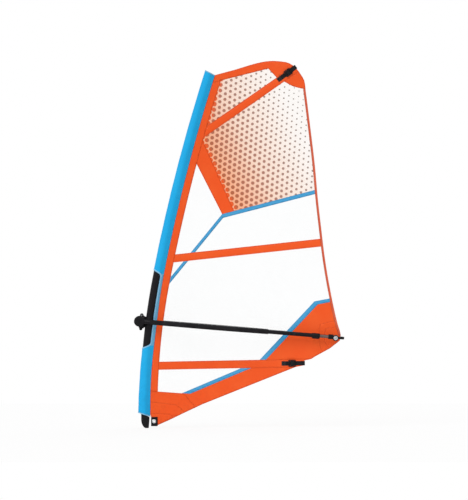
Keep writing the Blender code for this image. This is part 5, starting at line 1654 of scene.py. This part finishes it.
def makeBuckle(name):
    v = strapValues
    start, way, length, buckleAt = strapLine(name)
    (long, wide), (outer, inner) = v["buckle"], v["buckleDepths"]
    middle = (outer + inner) / 2
    buckle = box(name + "BuckleFrame", (long, inner - outer, wide), (0, middle, 0))
    cornersRounded(buckle, v["corner"])
    windowLong, windowWide = v["window"]
    cutAway(buckle, box("window", (windowLong, 0.02, windowWide), (0, middle, 0)))
    barLong, barOuter, barInner = v["bar"]
    size = (barLong, barInner - barOuter, windowWide + v["barEnds"])
    bar = box("bar", size, (0, (barOuter + barInner) / 2, 0))
    soften(bar, 0.7 * mm)
    addOn(buckle, bar)
    soften(buckle, 0.6 * mm, 2, 50)
    place = start + way * buckleAt
    turn = Matrix.Rotation(-math.atan2(way.y, way.x), 4, "Y")
    settle(buckle, Matrix.Translation((place.x, draftAt(place.x, place.y), place.y)) @ turn)
    finishRigid(buckle, "moulded_black", "rig", name + "_buckle")


for strapName in strapValues["straps"]:
    makeStrap(strapName)
    makeBuckle(strapName)
print("straps and buckles made")


# Rings and plates on the sail
ringValues = {
    "clew_ring": ("clewEyelet", (1.0360, 0.4947), 15.0, 8.5, 2.6, 1.1),
    "tack_ring": ("tackEyelet", (0.0392, 0.0368), 11.0, 5.0, 4.4, 3.2),
    "sides": 48, "neck": 1.4,
}
plateValues = {
    "corners": (0.0233, 0.0099, 0.0598, 0.0604), "rounding": 3 * mm, "inner": 0.8 * mm,
    "depth": 2.0 * mm, "soft": 0.5 * mm,
}


def leanAt(x, z, reach=5 * mm):
    # turns a fitting's own Z square to the sail under it
    aft = (draftAt(x + reach, z) - draftAt(x - reach, z)) / (2 * reach)
    up = (draftAt(x, z + reach) - draftAt(x, z - reach)) / (2 * reach)
    return Vector((-aft, 1, -up)).to_track_quat("Z", "X").to_matrix().to_4x4()


def makeEyelet(node):
    # two rolled flanges and the neck that joins them through the cloth
    name, (x, z), outer, hole, half, web = ringValues[node]
    flange = [
        (half - 0.5, hole + 0.05), (half - 0.1, hole + 0.5), (half, hole + 1.2),
        (half - 0.05, outer - 1.6), (half - 0.3, outer - 0.6), (half - 0.8, outer - 0.1),
        (web + 0.35, outer), (web, outer - 0.35), (web, hole + ringValues["neck"]),
    ]
    profile = bothEnds(flange) + inMm([(-half + 0.9, hole), (half - 0.9, hole)])
    eyelet = turned(name, profile, ringValues["sides"], closed=True)
    settle(eyelet, Matrix.Translation((x, draftAt(x, z), z)) @ leanAt(x, z))
    finishRigid(eyelet, "steel", "rig", node)


def makeTackPlate(side):
    v = plateValues
    x0, z0, x1, z1 = v["corners"]
    out = (v["inner"] + v["depth"] / 2) * (-1 if side == "near" else 1)
    centre = ((x0 + x1) / 2, out, (z0 + z1) / 2)
    plate = box("tackPlate" + side.capitalize(), (x1 - x0, v["depth"], z1 - z0), centre)
    cornersRounded(plate, v["rounding"])
    punch(plate, "tack")
    soften(plate, v["soft"], 3, 50)
    for vert in plate.data.vertices:
        vert.co.y += draftAt(vert.co.x, vert.co.z)
    finishRigid(plate, "moulded_black", "rig", "tack_plate_" + side)


for ringNode in ("clew_ring", "tack_ring"):
    makeEyelet(ringNode)
for plateSide in ("near", "far"):
    makeTackPlate(plateSide)
print("eyelets and tack plates made")


# Mast and its foot: heights and radii in pairs are in millimetres
mastValues = {
    "bottom": 0.0905, "joint": 0.960, "radius": 0.0215, "wall": 2.2 * mm, "step": 0.03,
    "sheaveAt": (0.0040, 0.0370),
    "sheave": [(3.4, 3.3), (3.8, 3.7), (3.8, 10.1), (3.4, 10.5), (3.0, 10.4), (2.0, 9.1), (0.9, 8.2)],
    "axle": [(-14.6, 2.6), (-14.2, 3.0), (14.2, 3.0), (14.6, 2.6)],
    "tipAt": 1.930,
    "tip": [
        (-30, 13.9), (0, 14.1), (0, 16.5), (3.0, 16.5), (4.0, 16.0), (6.4, 13.6), (7.6, 10.9),
        (8.0, 7.6),
    ],
    "button": [(13.5, 4.0), (20.2, 4.0), (20.8, 3.8), (21.2, 3.3), (21.3, 2.4), (21.0, 1.2)],
}
footValues = {
    "half": 17.5 * mm, "soft": 2.8 * mm, "heelStep": 2 * mm,
    "upper": [
        (0.0148, 0.0500), (0.0148, 0.0600), (-0.0050, 0.0695), (-0.0050, 0.0845), (-0.0307, 0.0845),
    ],
    "upperCorners": [0, 5 * mm, 5 * mm, 3.2 * mm, 3.5 * mm],
    "heel": [
        (-0.0307, 0.0450), (-0.0298, 0.0360), (-0.0272, 0.0250), (-0.0222, 0.0140),
        (-0.0150, 0.0048), (-0.0070, 0.0000),
    ],
    "toe": [(0.0111, 0.0000)], "toeCorner": [3.8 * mm],
    "plug": [
        (78.0, 17.0), (82.6, 20.9), (84.4, 21.5), (90.2, 21.5), (90.2, 18.6), (93.5, 18.6),
        (94.0, 18.1), (95.4, 18.1), (95.9, 18.6), (137.0, 18.6), (140.0, 18.2), (143.6, 16.4),
        (145.0, 14.4),
    ],
    "slot": (12.5 * mm, 4.5 * mm, 30 * mm), "axleHole": (3.3 * mm, 15 * mm),
    "socket": [(-2.0, 6.0), (1.0, 5.0), (17.0, 5.0)],
    "well": (4.3 * mm, 8.5 * mm, 5 * mm), "wellHeight": 9.5 * mm,
}


def makeFoot():
    v = footValues
    x, z = mastValues["sheaveAt"]
    heel = smoothLine(v["heel"], v["heelStep"])
    corners = v["upperCorners"] + [0] * len(heel) + v["toeCorner"]
    outline = roundedOff(v["upper"] + heel + v["toe"], corners)
    foot = settle(plateOf("mastFootBlock", outline, v["half"], v["soft"], 4), upright)
    plug = turned("plug", inMm(v["plug"]), 48)
    addOn(foot, settle(plug, Matrix.Translation((mastLine(0)[0], 0, 0))))
    room, half, long = v["slot"]
    slot = arcOf((x, z), room, 90, 270) + [(x + long, z - room), (x + long, z + room)]
    cutAway(foot, settle(plateOf("slot", slot, half, 0.0, 0), upright))
    cutAway(foot, pinOf("axleHole", *v["axleHole"], (x, z)))
    cutAway(foot, turned("socket", inMm(v["socket"]), 32))
    radius, deep, past = v["well"]
    well = turned("well", [(v["half"] - deep, radius), (v["half"] + past, radius)], 32)
    cutAway(foot, settle(well, Matrix.Translation((0, 0, v["wellHeight"])) @ alongY))
    finishRigid(foot, "moulded_black", "rig", "mast_foot", 32)


def makeMast():
    v = mastValues
    count = round((v["joint"] - v["bottom"]) / v["step"])
    heights = [v["bottom"] + (v["joint"] - v["bottom"]) * i / count for i in range(count + 1)]
    points = [byMast(z, 0.0) for z in heights]
    tube = tubeAlong("mastLowerTube", points, v["radius"], v["wall"])
    finishRigid(tube, "carbon_black", "rig", "mast_lower")
    makeFoot()
    axlePlace = Matrix.Translation((v["sheaveAt"][0], 0, v["sheaveAt"][1])) @ alongY
    sheave = settle(turned("footSheaveWheel", bothEnds(v["sheave"]), 48, closed=True), axlePlace)
    finishRigid(sheave, "bare_aluminium", "downhaul_sheave", "foot_sheave")
    axle = settle(turned("footAxlePin", inMm(v["axle"]), 32), axlePlace)
    finishRigid(axle, "steel", "rig", "foot_axle")
    x, lean = mastLine(v["tipAt"])
    tipPlace = Matrix.Translation((x, 0, v["tipAt"])) @ Matrix.Rotation(lean, 4, "Y")
    plug = settle(turned("mastTipPlugBody", inMm(v["tip"]), 48), tipPlace)
    finishRigid(plug, "moulded_black", "rig", "mast_tip_plug")
    buttonPlace = Matrix.Translation((0, 0, footValues["wellHeight"])) @ alongY
    button = settle(turned("releaseButtonCap", inMm(v["button"]), 32), buttonPlace)
    finishRigid(button, "steel", "button", "release_button")
    print("mast and foot made")


makeMast()


# Boom: head barrel, arms, grips, collars with their levers, extension tubes and tail
boomValues = {
    "armPath": [
        (-0.012, 0.0379), (0.030, 0.0452), (0.060, 0.0504), (0.140, 0.0780), (0.260, 0.1230),
        (0.400, 0.1480), (0.520, 0.1350), (0.630, 0.0930), (0.710, 0.0590), (0.765, 0.0462),
        (0.800, 0.0450), (0.830, 0.0450), (0.985, 0.0450),
    ],
    "armRadius": 0.0110, "armWall": 1.7 * mm, "step": 0.012, "tailY": 0.0450,
    "extension": (0.836, 1.058, 0.0090, 1.5 * mm), "extensionSteps": 12,
    "sheaveAt": (1.0800, 0.0457, -0.0046),
    "sheave": [(3.8, 3.8), (4.2, 4.2), (4.2, 11.5), (3.8, 12.0), (3.3, 11.9), (2.2, 10.7), (1.0, 9.9)],
}
barrelValues = {
    "side": [
        (0.0, 21.0), (17.6, 21.0), (18.4, 21.2), (18.8, 22.2), (19.2, 27.6), (19.8, 28.8),
        (21.0, 29.5), (22.4, 29.6), (41.0, 29.6), (41.6, 29.0), (42.8, 29.0), (43.4, 29.6),
        (52.0, 29.6), (54.0, 29.2), (56.0, 28.1), (57.3, 26.4), (57.9, 24.6), (58.0, 23.6),
    ],
    "socket": (-0.6 * mm, 90 * mm, 0.7 * mm), "endAt": 58 * mm,
    "grooves": (-8.5 * mm, 0.0, 8.5 * mm), "groove": (32 * mm, 3.2 * mm, 1.6 * mm, 1.5 * mm),
}


def makeBarrel():
    v = barrelValues
    profile = [(-h, r) for h, r in reversed(v["side"])] + v["side"][1:]
    barrel = settle(turned("headBarrelBody", inMm(profile), 64), alongY)
    (startX, startY), (nextX, nextY) = boomValues["armPath"][:2]
    turn = math.atan2(nextY - startY, nextX - startX)
    start, end, room = v["socket"]
    radius = boomValues["armRadius"] + room
    long, high, deep, corner = v["groove"]
    for sign in (1, -1):
        place = Matrix.Translation((startX, sign * startY, 0)) @ Matrix.Rotation(sign * turn, 4, "Z")
        socket = turned("socket", [(start, radius), (end, radius)], 32)
        cutAway(barrel, settle(socket, place @ alongX))
        for height in v["grooves"]:
            groove = box("groove", (long, 2 * deep, high), (0, sign * v["endAt"], height))
            cornersRounded(groove, corner)
            cutAway(barrel, groove)
    settle(barrel, boomPlace)
    finishRigid(barrel, "moulded_black", "boom", "head_barrel", 28)


gripValues = {
    "start": 0.060, "end": 0.708, "outer": 0.0134, "inner": 0.0116, "sides": 34, "around": 85 * mm,
    "endSoft": 2.2 * mm, "endSteps": [0.0, 0.25, 0.6, 1.0], "endDrop": 0.7, "uneven": 0.12 * mm,
}


def ringsRound(line, radii):
    # closed rings square to a line, as rows of (place, u, v)
    v = gripValues
    rows = []
    for radius, (point, way, travelled) in zip(radii, stepsAlong(line)):
        side = Vector((-way.y, way.x, 0))
        row = []
        for j in range(v["sides"] + 1):
            turn = 2 * math.pi * j / v["sides"]
            place = Vector((point.x, point.y, 0)) + side * (radius * math.cos(turn))
            place.z += radius * math.sin(turn)
            row.append((place, travelled, v["around"] * j / v["sides"]))
        rows.append(row)
    return rows


def gripEnd(tip, inner):
    # the foam's rounded end as (point, radius), from its tip inwards
    v = gripValues
    way = (inner - tip).normalized()
    rings = []
    for share in v["endSteps"]:
        drop = v["endSoft"] * v["endDrop"] * (1 - math.sqrt(1 - (1 - share) ** 2))
        rings.append((tip + way * (share * v["endSoft"]), v["outer"] - drop))
    return rings


def makeGrip(name, sign, line):
    v = gripValues
    covered = [p for p in line if v["start"] < p.x < v["end"]]
    first, last = covered[0], covered[-1]
    start = first + (first - covered[1]).normalized() * (first.x - v["start"])
    end = last + (last - covered[-2]).normalized() * (v["end"] - last.x)
    rings = gripEnd(start, covered[1])
    for i, p in enumerate(covered[1:-1]):
        unevenness = noise.noise(Vector((i * 0.9, sign * 3, 0)))
        rings.append((p, v["outer"] + v["uneven"] * unevenness))
    rings += reversed(gripEnd(end, covered[-2]))
    points = [point for point, radius in rings]
    outside = ringsRound(points, [radius for point, radius in rings])
    inside = ringsRound(points, [v["inner"]] * len(points))
    rows = outside + inside[::-1] + outside[:1]
    grip = closedPatch("grip" + name.capitalize() + "Foam", slotLooks["foam_black"], rows)
    settle(grip, boomPlace @ acrossBoom[name])
    rideOn(grip, "boom", "grip_" + name)


collarValues = {
    "profile": [
        (948.0, 11.3), (948.0, 12.0), (948.4, 12.5), (949.6, 12.8), (954.0, 12.8), (954.6, 12.4),
        (955.4, 12.4), (956.0, 12.8), (985.6, 12.8), (986.2, 12.4), (987.0, 12.4), (987.6, 12.8),
        (991.4, 12.8), (992.6, 12.3), (993.1, 11.4), (993.1, 9.3), (986.0, 9.3), (986.0, 11.3),
    ],
    "lugsAt": (951.0, 989.6), "lug": (4.0 * mm, 5.6 * mm, 5.6 * mm), "lugDrop": -14.1 * mm,
    "lugSoft": 0.8 * mm,
}


def makeCollar(name):
    v = collarValues
    place = boomPlace @ acrossBoom[name] @ Matrix.Translation((0, boomValues["tailY"], 0))
    collar = turned("collar" + name.capitalize() + "Body", inMm(v["profile"]), 48, closed=True)
    settle(collar, alongX)
    for along in v["lugsAt"]:
        lug = box("lug", v["lug"], (along * mm, 0, v["lugDrop"]))
        soften(lug, v["lugSoft"])
        addOn(collar, lug)
    finishRigid(settle(collar, place), "moulded_black", "boom", "collar_" + name, 28)


def makeExtension(name):
    v = boomValues
    start, end, radius, wall = v["extension"]
    place = boomPlace @ acrossBoom[name]
    count = v["extensionSteps"]
    along = [start + (end - start) * i / count for i in range(count + 1)]
    points = [place @ Vector((x, v["tailY"], 0)) for x in along]
    tube = tubeAlong("extension" + name.capitalize() + "Tube", points, radius, wall, 8)
    finishRigid(tube, "bare_aluminium", "tail", "extension_tube_" + name)
    wheel = "tailSheave" + name.capitalize() + "Wheel"
    sheave = settle(turned(wheel, bothEnds(v["sheave"]), 48, closed=True), alongY)
    settle(sheave, place @ Matrix.Translation(v["sheaveAt"]))
    finishRigid(sheave, "steel", name + "_sheave", "tail_sheave_" + name)


camValues = {
    "pinDrop": 15.0, "outer": 15.0, "inner": 13.1, "half": 16.8, "middle": 970.3, "soft": 0.4,
    "hub": [(0.0, 0.4), (-1.3, -0.4), (-2.0, -1.3), (-1.7, -2.2), (-0.8, -2.6), (0.6, -2.3)],
}


def makeCam(name):
    # drawn from its pin under the tube, wraps the tube's outer side
    v = camValues
    centre = (0, v["pinDrop"])
    outline = arcOf(centre, v["outer"], -82, 66, 5) + arcOf(centre, v["inner"], 66, -76, 5)
    outline = inMm(outline + v["hub"])
    plate = plateOf("camLever" + name.capitalize(), outline, v["half"] * mm, v["soft"] * mm, 2)
    acrossTube = Matrix(((0, 0, 1, 0), (1, 0, 0, 0), (0, 1, 0, 0), (0, 0, 0, 1)))
    place = Matrix.Translation((v["middle"] * mm, boomValues["tailY"], -v["pinDrop"] * mm))
    settle(plate, boomPlace @ acrossBoom[name] @ place @ acrossTube)
    finishRigid(plate, "moulded_black", name + "_cam", "collar_lever_" + name)


tailValues = {
    "block": [
        (1039.4, 11.6), (1039.8, 12.6), (1041.0, 13.4), (1044.0, 13.5), (1044.6, 13.1),
        (1045.4, 13.1), (1046.0, 13.5), (1064.0, 13.5), (1066.4, 12.8), (1068.0, 10.9),
    ],
    "cheek": [(37.0, 15.6), (37.5, 16.6), (38.6, 17.0), (49.0, 17.0), (50.1, 16.6), (50.5, 15.8)],
    "bore": [(1030.0, 9.5), (1058.6, 9.5)],
    "pocket": [(41.0, 3.5), (41.0, 12.8), (65.0, 12.8), (65.0, 3.5)],
    "lineGap": (8 * mm, 24 * mm, 14 * mm), "lineGapAt": (-2 * mm, 53 * mm, -15 * mm),
    "bowFront": 1.0930, "bow": (1.1225, 0.0440, 0.0150, -0.0023),
    "bowSize": (4.5 * mm, 7.0 * mm, 2.2 * mm),
    "rivet": [(50.35, 3.3), (50.75, 3.2), (51.1, 2.7), (51.2, 1.6)],
}


def makeBow(name):
    # the bow behind the clew: a rounded bar drawn along its path
    v = tailValues
    back, leg, corner, height = v["bow"]
    side = [Vector((v["bowFront"], leg))] + arcOf((back - corner, leg - corner), corner, 90, 0, 9)
    path = side + [Vector((p.x, -p.y)) for p in reversed(side)]
    wide, high, soft = v["bowSize"]
    rim = roundedOff([(-wide, -high), (wide, -high), (wide, high), (-wide, high)], soft)
    section = newCurve("bowSection", "2D", [(*place, 0.0) for place in rim], closed=True)
    section = linked("bowSection", section)
    curve = newCurve(name, "3D", [(*place, height) for place in path])
    curve.twist_mode = "Z_UP"
    curve.bevel_mode = "OBJECT"
    curve.bevel_object = section
    curve.use_fill_caps = True
    bow = asMesh(name, curve)
    closeUp(2e-6)
    bpy.data.objects.remove(section)
    return bow


def makeTail():
    v = tailValues
    tail = makeBow("tailBowFitting")
    cheekX, none, cheekZ = boomValues["sheaveAt"]
    cheekPlace = Matrix.Translation((cheekX, 0, cheekZ)) @ alongY
    tubePlace = Matrix.Translation((0, boomValues["tailY"], 0)) @ alongX
    for mirror in acrossBoom.values():
        addOn(tail, settle(turned("block", inMm(v["block"]), 48), mirror @ tubePlace))
        addOn(tail, settle(turned("cheek", inMm(v["cheek"]), 56), mirror @ cheekPlace))
    x, y, z = v["lineGapAt"]
    for mirror in acrossBoom.values():
        cutAway(tail, settle(turned("bore", inMm(v["bore"]), 40), mirror @ tubePlace))
        pocket = turned("pocket", inMm(v["pocket"]), 56, closed=True)
        cutAway(tail, settle(pocket, mirror @ cheekPlace))
        cutAway(tail, settle(box("gap", v["lineGap"], (cheekX + x, y, cheekZ + z)), mirror))
    settle(tail, boomPlace)
    finishRigid(tail, "moulded_black", "tail", "tail_fitting", 30)
    for name, mirror in acrossBoom.items():
        rivet = turned("sheaveRivet" + name.capitalize(), inMm(v["rivet"]), 32)
        settle(rivet, boomPlace @ mirror @ cheekPlace)
        dress(rivet, "steel", 40)
        rideOn(rivet, "tail")


clampValues = {
    "height": 0.579, "slide": 0.050, "sag": 0.0016,
    "body": (25.5 * mm, 31.0 * mm, 30 * mm, 67, 1.2 * mm),
    "liner": (23.7 * mm, 25.2 * mm, 29 * mm, 71, 0.4 * mm),
    "saddle": (-36 * mm, 24 * mm, -27 * mm, 17.5 * mm),
    "saddleCorners": [3 * mm, 2 * mm, 2 * mm, 2 * mm], "saddleSoft": 1.5 * mm,
    "upperLug": (7.8 * mm, 34.9 * mm, 9.8 * mm, 9.5 * mm),
    "lowerLug": (12.9 * mm, -39.8 * mm, 8.8 * mm, 15.5 * mm),
    "webBack": 29 * mm, "webLaps": (4 * mm, 6 * mm), "soft": 0.8 * mm,
    "waist": 21.6 * mm, "through": 30 * mm, "boreHalf": 0.05,
    "pin": 3.0 * mm, "pinSoft": 0.4 * mm, "pinRoom": 0.3 * mm,
}
leverValues = {
    "half": 15.5 * mm, "soft": 0.9 * mm, "arc": (28.3 * mm, 22.5 * mm), "hub": 8.5 * mm,
    "thumb": (-1 * mm, 25.8 * mm), "fork": (10.6 * mm, 10.1 * mm),
}


def clampPlace():
    v = clampValues
    middle = v["height"] + v["slide"] * math.cos(mastLine(v["height"])[1])
    lean = mastLine(middle)[1]
    start = byMast(middle, v["sag"])
    along = Vector((math.sin(lean), 0, math.cos(lean)))
    head = boomPlace.translation
    place = start + along * (head - start).dot(along)
    return Matrix.Translation(place) @ Matrix.Rotation(lean, 4, "Y"), (head - place).length


def openRing(name, inner, outer, half, mouth, soft):
    outside = arcOf((0, 0), outer, mouth, 360 - mouth, 5)
    return plateOf(name, outside + arcOf((0, 0), inner, 360 - mouth, mouth, 5), half, soft)


def makeClamp():
    v = clampValues
    place, reach = clampPlace()
    clamp = openRing("headClampBody", *v["body"])
    low, high, back, half = v["saddle"]
    upX, upZ, upRadius, upHalf = v["upperLug"]
    downX, downZ, downRadius, downHalf = v["lowerLug"]
    pinAt, lugAt = (-reach + upX, upZ), (-reach + downX, downZ)
    corners = [(-reach, low), (back, low), (back, high), (-reach, high)]
    saddle = plateOf("saddle", roundedOff(corners, v["saddleCorners"]), half, v["saddleSoft"])
    addOn(clamp, settle(saddle, upright))
    under, past = v["webLaps"]
    foot = high - under
    web = [(pinAt[0], foot), (back, foot), (back, v["webBack"]), (pinAt[0], upZ + past)]
    addOn(clamp, settle(plateOf("web", web, upHalf, v["soft"]), upright))
    addOn(clamp, pinOf("upperLug", upRadius, upHalf, pinAt, v["soft"], 56))
    addOn(clamp, pinOf("lowerLug", downRadius, downHalf, lugAt, v["soft"], 56))
    cutAway(clamp, pinOf("waist", v["waist"], v["through"], (-reach, 0), 0.0, 72))
    bore, end = v["body"][0], v["boreHalf"]
    cutAway(clamp, turned("mastBore", [(-end, bore), (end, bore)], 96))
    hole = v["pin"] + v["pinRoom"]
    cutAway(clamp, pinOf("pinHole", hole, v["through"], pinAt))
    finishRigid(settle(clamp, place), "moulded_black", "clamp", "head_clamp", 30)
    liner = openRing("clampLinerRubber", *v["liner"])
    finishRigid(settle(liner, place), "rubber_black", "clamp", "clamp_liner")
    pin = pinOf("leverPinBody", v["pin"], leverValues["half"], pinAt, v["pinSoft"])
    finishRigid(settle(pin, place), "steel", "clamp", "lever_pin")
    makeLever(place @ Matrix.Translation((pinAt[0], 0, upZ)), (-upX, -upZ), hole)


def makeLever(place, centre, hole):
    # drawn from its pin, with an arc that hugs the barrel round centre
    v = leverValues
    outer, inner = v["arc"]
    outline = arcOf(centre, outer, 240, 94, 5) + arcOf((0, 0), v["hub"], 108, -88, 8)
    outline += [Vector(centre) + Vector(v["thumb"])] + arcOf(centre, inner, 98, 240, 5)
    lever = settle(plateOf("clampLeverBody", outline, v["half"], v["soft"]), upright)
    cutAway(lever, pinOf("fork", *v["fork"], (0, 0), 0.0, 48))
    cutAway(lever, pinOf("pinHole", hole, clampValues["through"], (0, 0)))
    finishRigid(settle(lever, place), "moulded_black", "lever", "clamp_lever", 30)


def makeBoom():
    v = boomValues
    line = smoothLine(v["armPath"], v["step"])
    makeBarrel()
    makeClamp()
    for name, sign in (("port", 1), ("starboard", -1)):
        place = boomPlace @ acrossBoom[name]
        points = [place @ Vector((p.x, p.y, 0)) for p in line]
        arm = tubeAlong("boomArm" + name.capitalize() + "Tube", points, v["armRadius"], v["armWall"])
        finishRigid(arm, "carbon_black", "boom", "boom_arm_" + name)
        makeGrip(name, sign, line)
        makeCollar(name)
        makeCam(name)
        makeExtension(name)
    makeTail()
    print("boom made")


makeBoom()
